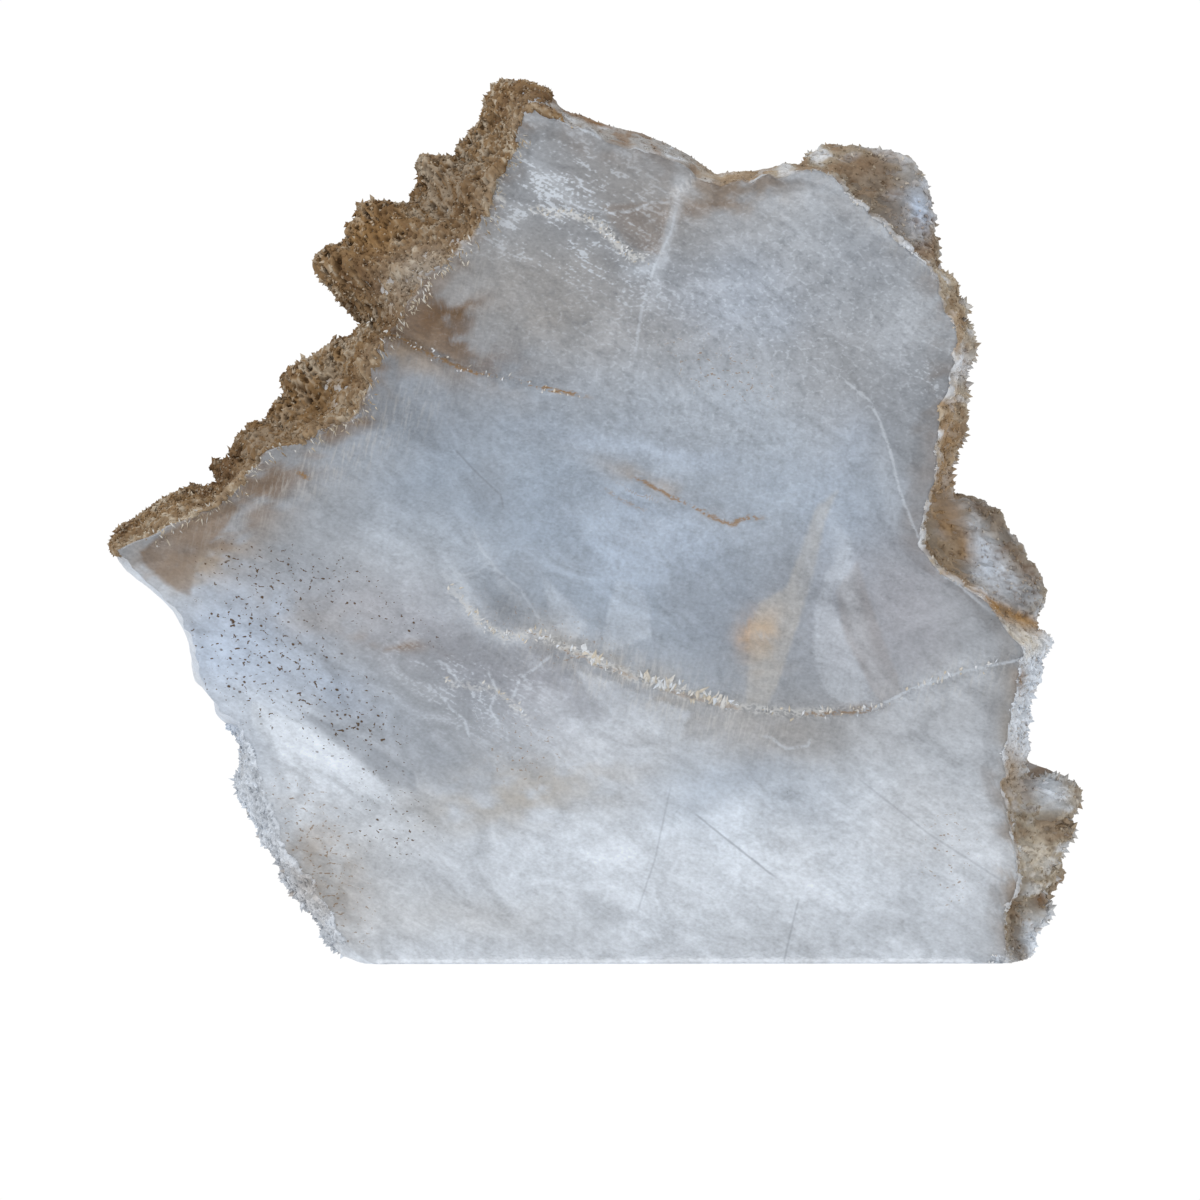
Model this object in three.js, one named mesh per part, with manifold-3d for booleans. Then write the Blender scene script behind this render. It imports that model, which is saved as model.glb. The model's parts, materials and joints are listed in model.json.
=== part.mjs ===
// A selenite slab: one thick cleavage plate of gypsum crystal that stands on a sawn base.
// Its upper left edge is etched into a porous brown rind, its other edges are toothed, and
// deeper layers of the plate stand out as ledges behind its right side.
// Millimetres, +Z up. The cleavage face looks towards -Y and its right hand side is +X.

import * as THREE from "three";
import { mergeVertices } from "three/addons/utils/BufferGeometryUtils.js";
import { ImprovedNoise } from "three/addons/math/ImprovedNoise.js";
import Module from "manifold-3d";

// Driving dimensions
const FACE_Y = -23;
const BACK_Y = 23;
const THICKNESS = BACK_Y - FACE_Y;
const FACE_CENTRE = [13, 130];
const SAMPLE_STEP = 3.8;
const BELOW_BASE = -4;
const CUT_MARGIN = 10;
const CUT_REACH = 300;

// The edge, stretch by stretch, clockwise from the left end of the base as seen from the front.
// outer: silhouette and face: rim of the cleavage face, as [x, z] points.
// knee: the bend of the profile from rim to silhouette, as shares [outwards, backwards].
// depth: how far back the silhouette lies, as a share of the thickness.
// teeth, lumps: how far the etched teeth and the lumps stand out. inset: rim of the back face.
const EDGE = [
  {
    name: "etched lower left",
    outer: [[-70.5, 1.5], [-75.5, 6], [-77, 10.5], [-82.5, 16], [-87, 23.5], [-88, 28], [-92.5, 33.5],
      [-95, 40], [-97.5, 43], [-100, 48.5], [-99.5, 54.5], [-99, 61]],
    face: [[-66, 3], [-71.5, 8.5], [-75, 17], [-82, 27], [-88, 39], [-92.5, 49], [-94.5, 59.5]],
    knee: [0.6, 0.2], depth: 0.42, teeth: 1.5, lumps: 0.5, inset: 8,
  },
  {
    name: "scooped left",
    outer: [[-101, 65], [-106.5, 70], [-107, 74], [-112, 79], [-113.5, 86], [-114.5, 91],
      [-118.5, 98.5], [-124, 104], [-130.5, 109], [-135.5, 115]],
    face: [[-97.5, 64.5], [-103, 71], [-107.5, 78.5], [-110.5, 88], [-114.5, 97], [-121, 104.5],
      [-128, 111], [-132.5, 115]],
    knee: [0.7, 0.2], depth: 0.4, teeth: 0.2, lumps: 0.3, inset: 9,
  },
  {
    name: "left tip",
    outer: [[-137, 117.5], [-135, 121], [-129, 123.5], [-124.5, 126.5], [-118.5, 130.5], [-114, 132.5],
      [-109, 132.5]],
    face: [[-133, 116], [-128, 118.5], [-123, 120.5], [-118.5, 123], [-112.5, 125.5], [-106.5, 128]],
    knee: [0.5, 0.4], depth: 0.55, teeth: 0.5, lumps: 1.2, inset: 9,
  },
  {
    name: "lower rind",
    outer: [[-105.5, 134.5], [-107.5, 140.5], [-103.5, 140.5], [-101, 145.5], [-96.5, 149.5],
      [-91.5, 152.5], [-90.5, 155], [-86.5, 159], [-87.5, 164], [-84, 166.5], [-80.5, 169], [-77, 170.5],
      [-73, 174], [-67.5, 176]],
    face: [[-102, 132], [-98.5, 136], [-93, 141], [-90.5, 143.5], [-83.5, 146], [-74, 150.5],
      [-65.5, 154.5], [-63, 160.5], [-62.5, 166], [-61, 171.5]],
    knee: [0.45, 0.4], depth: 0.62, teeth: 0.7, lumps: 1.9, inset: 8,
  },
  {
    name: "rind lobes",
    outer: [[-63.5, 180], [-67.5, 184], [-70.5, 187], [-74.5, 191.5], [-77.5, 197], [-76, 200],
      [-70, 202], [-68.5, 206.5], [-65.5, 210.5], [-65.5, 213.5], [-61, 214], [-55.5, 213.5],
      [-52.5, 213], [-50.5, 215.5], [-49, 221], [-50, 226], [-46, 227], [-42, 226.5], [-37, 225],
      [-37, 229], [-34.5, 233.5], [-31.5, 236], [-30, 242], [-27, 246]],
    face: [[-55.5, 179], [-50.5, 186], [-47, 192], [-42.5, 197], [-35.5, 202], [-30.5, 208.5],
      [-29, 215.5], [-25.5, 224], [-22, 229.5], [-20.5, 235.5], [-19, 239]],
    knee: [0.5, 0.42], depth: 0.66, teeth: 0.7, lumps: 2.1, inset: 8,
  },
  {
    name: "top edge",
    outer: [[-21.5, 247], [-17, 246], [-12, 243], [-9, 240], [-1.5, 237], [7, 234.5], [16, 231.5],
      [21, 229.5], [28.5, 225.5]],
    face: [[-16.5, 240], [-10.5, 237.5], [2, 231.5], [13.5, 228], [21, 225.5], [27.5, 222]],
    knee: [0.8, 0.25], depth: 0.4, teeth: 0.4, lumps: 0.6, inset: 6,
  },
  {
    name: "top saddle",
    outer: [[32, 222.5], [35, 221], [40, 222], [47, 222.5], [51, 223.5], [54.5, 224.5]],
    face: [[31.5, 220], [35.5, 218.5], [42.5, 220], [51, 220.5]],
    knee: [0.8, 0.25], depth: 0.4, teeth: 0.5, lumps: 0.6, inset: 6,
  },
  {
    name: "upper right ledge",
    outer: [[59.5, 223.5], [61.5, 227], [65.5, 229], [72.5, 230], [81, 227.5], [86, 227], [92.5, 221.5],
      [94.5, 216.5], [96, 208.5], [95.5, 205.5], [97.5, 201.5]],
    face: [[59.5, 221.5], [67.5, 220.5], [70, 217.5], [75, 211.5], [82, 206.5], [86.5, 202],
      [91.5, 197]],
    knee: [0.12, 0.4], depth: 0.62, teeth: 0.5, lumps: 1, inset: 6,
  },
  {
    name: "upper right teeth",
    outer: [[96.5, 195.5], [99, 193], [102, 191], [102.5, 187], [105.5, 184], [103.5, 181.5],
      [106, 179], [107, 175.5], [107.5, 171.5], [105, 168.5], [105, 162], [104.5, 155], [104.5, 149],
      [102, 144], [101, 138.5]],
    face: [[94.5, 195], [97.5, 191], [99, 185.5], [100.5, 180], [102, 174.5], [102, 170], [100, 165],
      [99.5, 160.5], [97.5, 154.5], [96.5, 149], [95.5, 142]],
    knee: [0.45, 0.3], depth: 0.48, teeth: 1.9, lumps: 0.9, inset: 6,
  },
  {
    name: "middle right lens",
    outer: [[102, 133], [102, 130.5], [108, 129.5], [112, 126.5], [116, 122], [119, 117.5], [122, 112.5],
      [126.5, 106], [127.5, 100.5], [125.5, 96.5]],
    face: [[94.5, 134.5], [93, 128], [91.5, 122], [93.5, 115.5], [97, 110], [103, 106], [110, 101.5],
      [114, 96.5]],
    knee: [0.15, 0.4], depth: 0.62, teeth: 0.4, lumps: 0.7, inset: 6,
  },
  {
    name: "right spur",
    outer: [[125, 92], [128.5, 89.5], [125.5, 84.5], [126, 79.5], [123.5, 76], [124, 74], [122, 72],
      [123.5, 68.5], [121.5, 64], [122.5, 59]],
    face: [[117.5, 92], [120.5, 87.5], [119.5, 82], [119, 75.5], [117.5, 70], [116.5, 64.5],
      [115.5, 59]],
    knee: [0.45, 0.3], depth: 0.48, teeth: 1.8, lumps: 0.9, inset: 6,
  },
  {
    name: "lower right ledge",
    outer: [[121, 54], [124.5, 51.5], [130, 51], [135.5, 48.5], [137, 41], [134.5, 38], [136, 35.5],
      [134.5, 32], [132.5, 29], [131.5, 20.5], [129, 18], [129.5, 12], [125.5, 6]],
    face: [[115, 53], [115, 47.5], [115.5, 42], [117.5, 33.5], [119.5, 26], [119, 21], [116.5, 17],
      [116, 10]],
    knee: [0.15, 0.4], depth: 0.62, teeth: 1.5, lumps: 0.9, inset: 6,
  },
  {
    name: "sawn base",
    outer: [[123.5, BELOW_BASE], [30, BELOW_BASE], [-65, BELOW_BASE]],
    face: [[116, BELOW_BASE], [30, BELOW_BASE], [-62, BELOW_BASE]],
    knee: [1, 0.05], depth: 0.5, teeth: 0, lumps: 0, inset: 0,
  },
];

// Profile steps as shares: rim to knee, knee to silhouette, then over the back knee to the back.
const KNEE_STEPS = [0.5, 1];
const OUTER_STEPS = [0.33, 0.67, 1];
const BACK_KNEE = [0.3, 0.7];
const BACK_STEPS = [0.5, 1];
const BACK_SMOOTHING = 4;
const VALUE_SMOOTHING = 2;

// Relief of the edge: two sizes of lumps, and how much of a lump's height goes fore and aft.
const COARSE = { size: 6.5, height: 1.3 };
const FINE = { size: 2.3, height: 0.7 };
const FORE_AND_AFT = 0.6;
const TOOTH_BALANCE = 0.9;

// Broken sheets: flat forms missing from the two big faces, each an [x, z] outline and a depth.
// A sheet with a lean runs out to nothing at its first point.
const FACE_SHEETS = [
  {
    name: "facet under the top edge",
    outline: [[-28, 219], [-9, 212], [2, 207.5], [13, 199.5], [20, 197], [22, 216], [36, 224], [-4, 250],
      [-24, 250]],
    depth: 1.6, lean: 0,
  },
  {
    name: "lower sheet below the frayed arc",
    outline: [[-25, 92], [-9, 89.5], [8, 82], [25, 76.5], [40, 72.5], [57, 70.5], [74, 71], [90, 76],
      [105, 82.5], [126, 88], [150, 60], [150, -10], [-30, -10]],
    depth: 0.1, lean: 0.012,
  },
  {
    name: "crack from the notch between the rind lobes",
    outline: [[-70, 184], [-58, 179.5], [-41, 173.5], [-20, 165], [-42, 170], [-58, 174.5], [-70, 175]],
    depth: 4, lean: 0,
  },
];
const BACK_SHEETS = [
  {
    name: "upper back step",
    outline: [[-90, 176], [-62, 181], [-40, 178], [-22, 184], [-4, 180], [12, 186], [30, 181], [52, 190],
      [70, 186], [86, 194], [130, 190], [130, 260], [-90, 260]],
    depth: 5,
  },
  {
    name: "left back step",
    outline: [[-150, 150], [-98, 138], [-84, 122], [-80, 104], [-70, 90], [-68, 70], [-58, 52], [-54, 28],
      [-44, 10], [-42, -10], [-150, -10]],
    depth: 8,
  },
];

// Rind growth: lumps and pits set along the rind stretches, and one small hole in the face.
const RIND_STRETCHES = ["left tip", "lower rind", "rind lobes"];
const RIND_RINGS = [1, 7];
const LUMPS = { count: 52, radius: [3.2, 5.6], sink: 0.45, seed: 5, sizeSeed: 300, formSeed: 0 };
const PITS = { count: 28, radius: [1.3, 2.6], forward: 2, seed: 9, sizeSeed: 700, formSeed: 500 };
const PEBBLE_CORNERS = [0.75, 1.25];
const PEBBLE_SEED_STEP = 31;
const RING_SEED_STEP = 3;
const HOLE = { at: [-81, 137], radius: 1.7, seed: 77 };

const wasm = await Module();
wasm.setup();

// A repeatable number from 0 to 1 for any whole number.
function scatter(n) {
  const wave = Math.sin(n * 127.1 + 11.7) * 43758.5453;
  return wave - Math.floor(wave);
}

function mix(a, b, share) {
  return a + (b - a) * share;
}

// A closed three.js geometry as a solid that can be joined and cut.
function toSolid(geometry) {
  const bare = geometry.clone();
  bare.deleteAttribute("normal");
  bare.deleteAttribute("uv");
  const merged = mergeVertices(bare, 1e-4);
  return new wasm.Manifold(new wasm.Mesh({
    numProp: 3,
    vertProperties: new Float32Array(merged.attributes.position.array),
    triVerts: new Uint32Array(merged.index.array),
  }));
}

function toGeometry(solid) {
  const mesh = solid.getMesh();
  const geometry = new THREE.BufferGeometry();
  geometry.setAttribute("position", new THREE.BufferAttribute(mesh.vertProperties, mesh.numProp));
  geometry.setIndex(new THREE.BufferAttribute(mesh.triVerts, 1));
  return geometry;
}

// Evenly spaced points on a smooth curve through a stretch, up to the start of the next one.
function spaced(points, nextPoint, count) {
  const curve = new THREE.SplineCurve([...points, nextPoint].map(([x, z]) => new THREE.Vector2(x, z)));
  return curve.getSpacedPoints(count).slice(0, count);
}

// Samples all round the edge, each with its rim and silhouette points and its profile values.
function edgeSamples() {
  return EDGE.flatMap((stretch, i) => {
    const next = EDGE[(i + 1) % EDGE.length];
    const line = new THREE.SplineCurve(stretch.outer.map(([x, z]) => new THREE.Vector2(x, z)));
    const count = Math.round(line.getLength() / SAMPLE_STEP) + 1;
    const outer = spaced(stretch.outer, next.outer[0], count);
    const face = spaced(stretch.face, next.face[0], count);
    return outer.map((point, k) => ({
      name: stretch.name, outer: point, face: face[k], kneeOut: stretch.knee[0], kneeBack: stretch.knee[1],
      depth: stretch.depth, teeth: stretch.teeth, lumps: stretch.lumps, inset: stretch.inset,
    }));
  });
}

// The mean of a value over neighbouring samples, which eases one stretch into the next.
function eased(samples, i, reach, value) {
  let sum = 0;
  for (let k = -reach; k <= reach; k++) {
    sum += value(samples[(i + k + samples.length) % samples.length]);
  }
  return sum / (2 * reach + 1);
}

// The cross-section of the edge at one sample: points from the face rim round to the back rim.
function edgeProfile(samples, i) {
  const { outer, face } = samples[i];
  const [cx, cz] = FACE_CENTRE;
  const value = (key) => eased(samples, i, VALUE_SMOOTHING, (s) => s[key]);
  const backX = eased(samples, i, BACK_SMOOTHING, (s) => s.outer.x);
  const backZ = eased(samples, i, BACK_SMOOTHING, (s) => s.outer.y);
  const reach = Math.hypot(backX - cx, backZ - cz);
  const shrink = 1 - value("inset") / reach;
  const back = new THREE.Vector2(cx + (backX - cx) * shrink, cz + (backZ - cz) * shrink);
  const out = new THREE.Vector2(outer.x - cx, outer.y - cz).normalize();
  const tooth = value("teeth") * (2 * scatter(i) - TOOTH_BALANCE);
  const tip = outer.clone().addScaledVector(out, tooth);
  const kneeOut = value("kneeOut");
  const kneeBack = value("kneeBack");
  const depth = value("depth");
  const steps = [[face, 0]];
  KNEE_STEPS.forEach((s) => steps.push([face.clone().lerp(tip, kneeOut * s), kneeBack * s]));
  const kneePoint = face.clone().lerp(tip, kneeOut);
  OUTER_STEPS.forEach((s) => steps.push([kneePoint.clone().lerp(tip, s), mix(kneeBack, depth, s)]));
  const backKnee = tip.clone().lerp(back, BACK_KNEE[0]);
  const backKneeDepth = mix(depth, 1, BACK_KNEE[1]);
  BACK_STEPS.forEach((s) => steps.push([tip.clone().lerp(backKnee, s), mix(depth, backKneeDepth, s)]));
  BACK_STEPS.forEach((s) => steps.push([backKnee.clone().lerp(back, s), mix(backKneeDepth, 1, s)]));
  const lumps = value("lumps");
  return steps.map(([point, share], k) => {
    const y = FACE_Y + THICKNESS * share;
    const free = k > 0 && k < steps.length - 1;
    const swell = free ? lumps * roughness(point.x, y, point.y) : 0;
    const slant = share < depth ? -1 : 1;
    const push = slant * swell * FORE_AND_AFT;
    return new THREE.Vector3(point.x + out.x * swell, y + push, point.y + out.y * swell);
  });
}

const noise = new ImprovedNoise();

// Lumpy relief, about -1 to 1: coarse lumps with finer ones on them.
function roughness(x, y, z) {
  const lumpy = ({ size, height }) => height * noise.noise(x / size, y / size, z / size);
  return lumpy(COARSE) + lumpy(FINE);
}

// A closed skin over the edge profiles, with the two big faces as fans from their centres.
function plateGeometry(profiles) {
  const rings = profiles[0].length;
  const count = profiles.length;
  const [cx, cz] = FACE_CENTRE;
  const points = profiles.flat();
  const frontPole = points.length;
  const backPole = frontPole + 1;
  points.push(new THREE.Vector3(cx, FACE_Y, cz), new THREE.Vector3(cx, BACK_Y, cz));
  const at = (i, ring) => (i % count) * rings + ring;
  const index = [];
  for (let i = 0; i < count; i++) {
    index.push(frontPole, at(i + 1, 0), at(i, 0));
    for (let ring = 0; ring < rings - 1; ring++) {
      index.push(at(i, ring), at(i + 1, ring + 1), at(i, ring + 1));
      index.push(at(i, ring), at(i + 1, ring), at(i + 1, ring + 1));
    }
    index.push(backPole, at(i, rings - 1), at(i + 1, rings - 1));
  }
  const geometry = new THREE.BufferGeometry().setFromPoints(points);
  geometry.setIndex(index);
  return geometry;
}

// A flat slice of material from one depth to another over an [x, z] outline.
function sliceGeometry(outline, nearY, farY) {
  const shape = new THREE.Shape(outline.map(([x, z]) => new THREE.Vector2(x, z)));
  const geometry = new THREE.ExtrudeGeometry(shape, { depth: farY - nearY, bevelEnabled: false });
  geometry.rotateX(Math.PI / 2);
  geometry.translate(0, farY, 0);
  return geometry;
}

// A many-sided pebble: an icosahedron whose corners are moved in and out.
function pebbleGeometry(radius, seed) {
  const ball = new THREE.IcosahedronGeometry(radius, 0);
  ball.deleteAttribute("normal");
  ball.deleteAttribute("uv");
  const geometry = mergeVertices(ball);
  const position = geometry.attributes.position;
  const corner = new THREE.Vector3();
  for (let i = 0; i < position.count; i++) {
    const stretch = mix(...PEBBLE_CORNERS, scatter(seed * PEBBLE_SEED_STEP + i));
    corner.fromBufferAttribute(position, i).multiplyScalar(stretch);
    position.setXYZ(i, corner.x, corner.y, corner.z);
  }
  return geometry;
}

// Places on the rind, spread over its length and over its slope between rim and silhouette.
function rindPlaces(samples, profiles, { count, seed }) {
  const rind = [...samples.keys()].filter((i) => RIND_STRETCHES.includes(samples[i].name));
  return Array.from({ length: count }, (_, n) => {
    const i = rind[Math.floor((n + scatter(seed + n)) * rind.length / count)];
    return profiles[i][Math.floor(mix(...RIND_RINGS, scatter(seed * RING_SEED_STEP + n)))];
  });
}

// A step of a given length from a place on the edge towards the middle of the face.
function inwards(place, length) {
  const [cx, cz] = FACE_CENTRE;
  const reach = Math.hypot(cx - place.x, cz - place.z);
  return [(cx - place.x) * length / reach, (cz - place.z) * length / reach];
}

// Pebbles half sunk in the rind, and pits with a pebble's form on its front slope.
function roughenRind(plate, samples, profiles) {
  let slab = plate;
  rindPlaces(samples, profiles, LUMPS).forEach((place, n) => {
    const radius = mix(...LUMPS.radius, scatter(n + LUMPS.sizeSeed));
    const [dx, dz] = inwards(place, radius * LUMPS.sink);
    const lump = pebbleGeometry(radius, n + LUMPS.formSeed);
    slab = slab.add(toSolid(lump.translate(place.x + dx, place.y, place.z + dz)));
  });
  rindPlaces(samples, profiles, PITS).forEach((place, n) => {
    const radius = mix(...PITS.radius, scatter(n + PITS.sizeSeed));
    const pit = pebbleGeometry(radius, n + PITS.formSeed);
    slab = slab.subtract(toSolid(pit.translate(place.x, place.y - PITS.forward, place.z)));
  });
  return slab;
}

// The broken sheets taken off the two big faces.
function breakSheets(plate) {
  let slab = plate;
  for (const { outline, depth, lean } of FACE_SHEETS) {
    const sheet = sliceGeometry(outline, FACE_Y - CUT_MARGIN, FACE_Y + depth);
    slab = slab.subtract(toSolid(sheet.applyMatrix4(leanAbout(outline[0][0], FACE_Y, lean))));
  }
  for (const { outline, depth } of BACK_SHEETS) {
    slab = slab.subtract(toSolid(sliceGeometry(outline, BACK_Y - depth, BACK_Y + CUT_MARGIN)));
  }
  return slab;
}

function slabGeometry() {
  const samples = edgeSamples();
  const profiles = samples.map((_, i) => edgeProfile(samples, i));
  const plate = toSolid(plateGeometry(profiles));
  const rough = breakSheets(roughenRind(plate, samples, profiles));
  const hole = pebbleGeometry(HOLE.radius, HOLE.seed).translate(HOLE.at[0], FACE_Y, HOLE.at[1]);
  const belowSaw = new THREE.BoxGeometry(2 * CUT_REACH, CUT_REACH, CUT_REACH).translate(0, 0, -CUT_REACH / 2);
  return toGeometry(largestPiece(rough.subtract(toSolid(hole)).subtract(toSolid(belowSaw))));
}

// The slab without the crumbs that the cuts leave loose.
function largestPiece(solid) {
  return solid.decompose().reduce((a, b) => (b.volume() > a.volume() ? b : a));
}

// A turn about the vertical line through (x, y), so that a cut runs out to nothing.
function leanAbout(x, y, angle) {
  const matrix = new THREE.Matrix4().makeTranslation(x, y, 0);
  matrix.multiply(new THREE.Matrix4().makeRotationZ(angle));
  return matrix.multiply(new THREE.Matrix4().makeTranslation(-x, -y, 0));
}

// The origin is under the middle of the slab, on the surface that it stands on.
function centred(geometry) {
  geometry.computeBoundingBox();
  const centre = geometry.boundingBox.getCenter(new THREE.Vector3());
  return geometry.translate(-centre.x, -centre.y, 0);
}

const selenite = new THREE.MeshStandardMaterial({ color: 0xc9d0d6, roughness: 0.35, metalness: 0 });
const slabMesh = new THREE.Mesh(centred(slabGeometry()), selenite);
slabMesh.name = "slab";

const object = new THREE.Group();
object.add(slabMesh);

export default object;
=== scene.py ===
# %% [markdown]
# # A selenite slab
# Selenite is gypsum that grew as clear crystal. This slab is one thick cleavage plate: a milky,
# half see-through face, a porous brown rind where water etched the upper left edge, toothed rims,
# and a sawn base that it stands on. The frame gives the solid at its real size. This lesson works
# in millimetres and turns them into metres when a mesh is made.

# %% Load the frame
import itertools
import json
import math

import bpy
import numpy as np
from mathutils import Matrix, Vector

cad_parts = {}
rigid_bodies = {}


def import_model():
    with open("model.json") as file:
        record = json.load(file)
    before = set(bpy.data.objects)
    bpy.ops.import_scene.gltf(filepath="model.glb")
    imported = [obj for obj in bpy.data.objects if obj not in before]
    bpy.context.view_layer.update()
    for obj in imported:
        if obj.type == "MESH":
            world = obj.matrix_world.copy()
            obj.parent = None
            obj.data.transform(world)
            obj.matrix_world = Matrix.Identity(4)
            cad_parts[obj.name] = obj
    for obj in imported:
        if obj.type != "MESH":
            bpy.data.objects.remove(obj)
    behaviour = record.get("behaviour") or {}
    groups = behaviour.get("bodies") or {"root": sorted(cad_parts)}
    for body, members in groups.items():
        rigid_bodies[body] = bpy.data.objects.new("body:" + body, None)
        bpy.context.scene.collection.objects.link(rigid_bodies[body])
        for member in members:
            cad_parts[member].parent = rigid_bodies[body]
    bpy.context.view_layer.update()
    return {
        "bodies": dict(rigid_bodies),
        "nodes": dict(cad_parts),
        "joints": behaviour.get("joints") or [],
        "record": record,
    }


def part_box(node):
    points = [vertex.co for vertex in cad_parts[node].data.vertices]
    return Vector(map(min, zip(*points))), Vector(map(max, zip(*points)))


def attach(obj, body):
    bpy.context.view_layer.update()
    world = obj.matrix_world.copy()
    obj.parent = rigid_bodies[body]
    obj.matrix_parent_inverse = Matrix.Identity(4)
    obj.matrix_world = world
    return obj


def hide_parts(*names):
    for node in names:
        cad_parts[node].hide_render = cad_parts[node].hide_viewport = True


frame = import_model()
slab_low, slab_high = (np.array(corner) * 1000 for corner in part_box("slab"))
print("slab in the frame, mm:", np.round(slab_high - slab_low, 1))

# %% [markdown]
# ## Repeatable noise
# A crystal has detail at every size, so most of its relief and stains come from noise. Blender's
# own noise could do it, but it works a point at a time. These functions take whole arrays: an
# integer hash gives each lattice point a number that is the same on every run.

# %% Noise on arrays
OCTAVE_TURN = np.array([[0.36, 0.48, -0.80], [-0.80, 0.60, 0.00], [0.48, 0.64, 0.60]])


def lattice(cell, seed):
    """Integer hash: a repeatable number from 0 to 1 for every whole-number point."""
    mixed = cell[..., 0] * 374761393 + cell[..., 1] * 668265263 + cell[..., 2] * 1440670441
    mixed = (mixed + seed * 1274126177) & 0xFFFFFFFF
    mixed = ((mixed ^ (mixed >> 13)) * 1274126177) & 0xFFFFFFFF
    return ((mixed ^ (mixed >> 16)) & 0xFFFFFF) / float(0xFFFFFF)


def smoothstep(low, high, value):
    """0 below low, 1 above high, and an S-shaped ramp between them."""
    t = np.clip((value - low) / (high - low), 0, 1)
    return t * t * (3 - 2 * t)


def soft_noise(points, size, seed=0):
    """Lattice numbers one size apart, mixed by a smooth ramp along each axis: 0 to 1."""
    scaled = points / size
    cell = np.floor(scaled).astype(np.int64)
    ramp = scaled - cell
    ramp = ramp * ramp * (3 - 2 * ramp)
    total = np.zeros(points.shape[:-1])
    for corner in itertools.product((0, 1), repeat=3):
        share = np.prod(np.where(np.array(corner) == 1, ramp, 1 - ramp), axis=-1)
        total += share * lattice(cell + np.array(corner), seed)
    return total


def rough_noise(points, size, octaves=4, seed=0):
    """Octaves of soft noise, each turned, half the size and half the height: 0 to 1."""
    total, height, reach = 0, 1, 0
    for octave in range(octaves):
        total = total + height * soft_noise(points, size, seed + 17 * octave)
        reach += height
        points, height = points @ OCTAVE_TURN * 2, height / 2
    return total / reach


def pore_noise(points, size, seed=0):
    """Cellular noise: the distance, in cells, to the nearest of one random point a cell."""
    scaled = points / size
    base = np.floor(scaled).astype(np.int64)
    nearest = np.full(points.shape[:-1], np.inf)
    for step in itertools.product((-1, 0, 1), repeat=3):
        cell = base + np.array(step)
        jitter = np.stack([lattice(cell, seed + k) for k in range(3)], axis=-1)
        nearest = np.minimum(nearest, np.linalg.norm(cell + jitter - scaled, axis=-1))
    return nearest


print("noise test:", np.round(rough_noise(np.array([[0.3, 0.2, 0.9], [5.1, 2.2, 7.3]]), 3.0), 3))

# %% [markdown]
# ## The outline
# Two lines run round the slab: the silhouette that the eye sees against the light, and the rim of
# the flat cleavage face inside it. Between them lies the edge, which is a slope of rind on the
# left and steps down to deeper layers on the right. The lines are the solid's own, stretch by
# stretch, clockwise from the left end of the base. In each stretch, knee says how far out and back
# its profile bends, as shares, and depth how far back the silhouette lies, as a share of the
# thickness. lumps is the height of its lumps and inset the way in to the rim of the back, in mm.
# A stretch with more to show has a larger crowd, which gives it more columns of mesh points.

# %% Edge stretches
FACE_Y, BACK_Y = -23.0, 23.0
THICKNESS = BACK_Y - FACE_Y
ORIGIN_SHIFT = np.array([1.1, 0.0])
CENTRE = np.array([13.0, 130.0]) + ORIGIN_SHIFT
RIM_LIFT = 0.3

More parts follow.
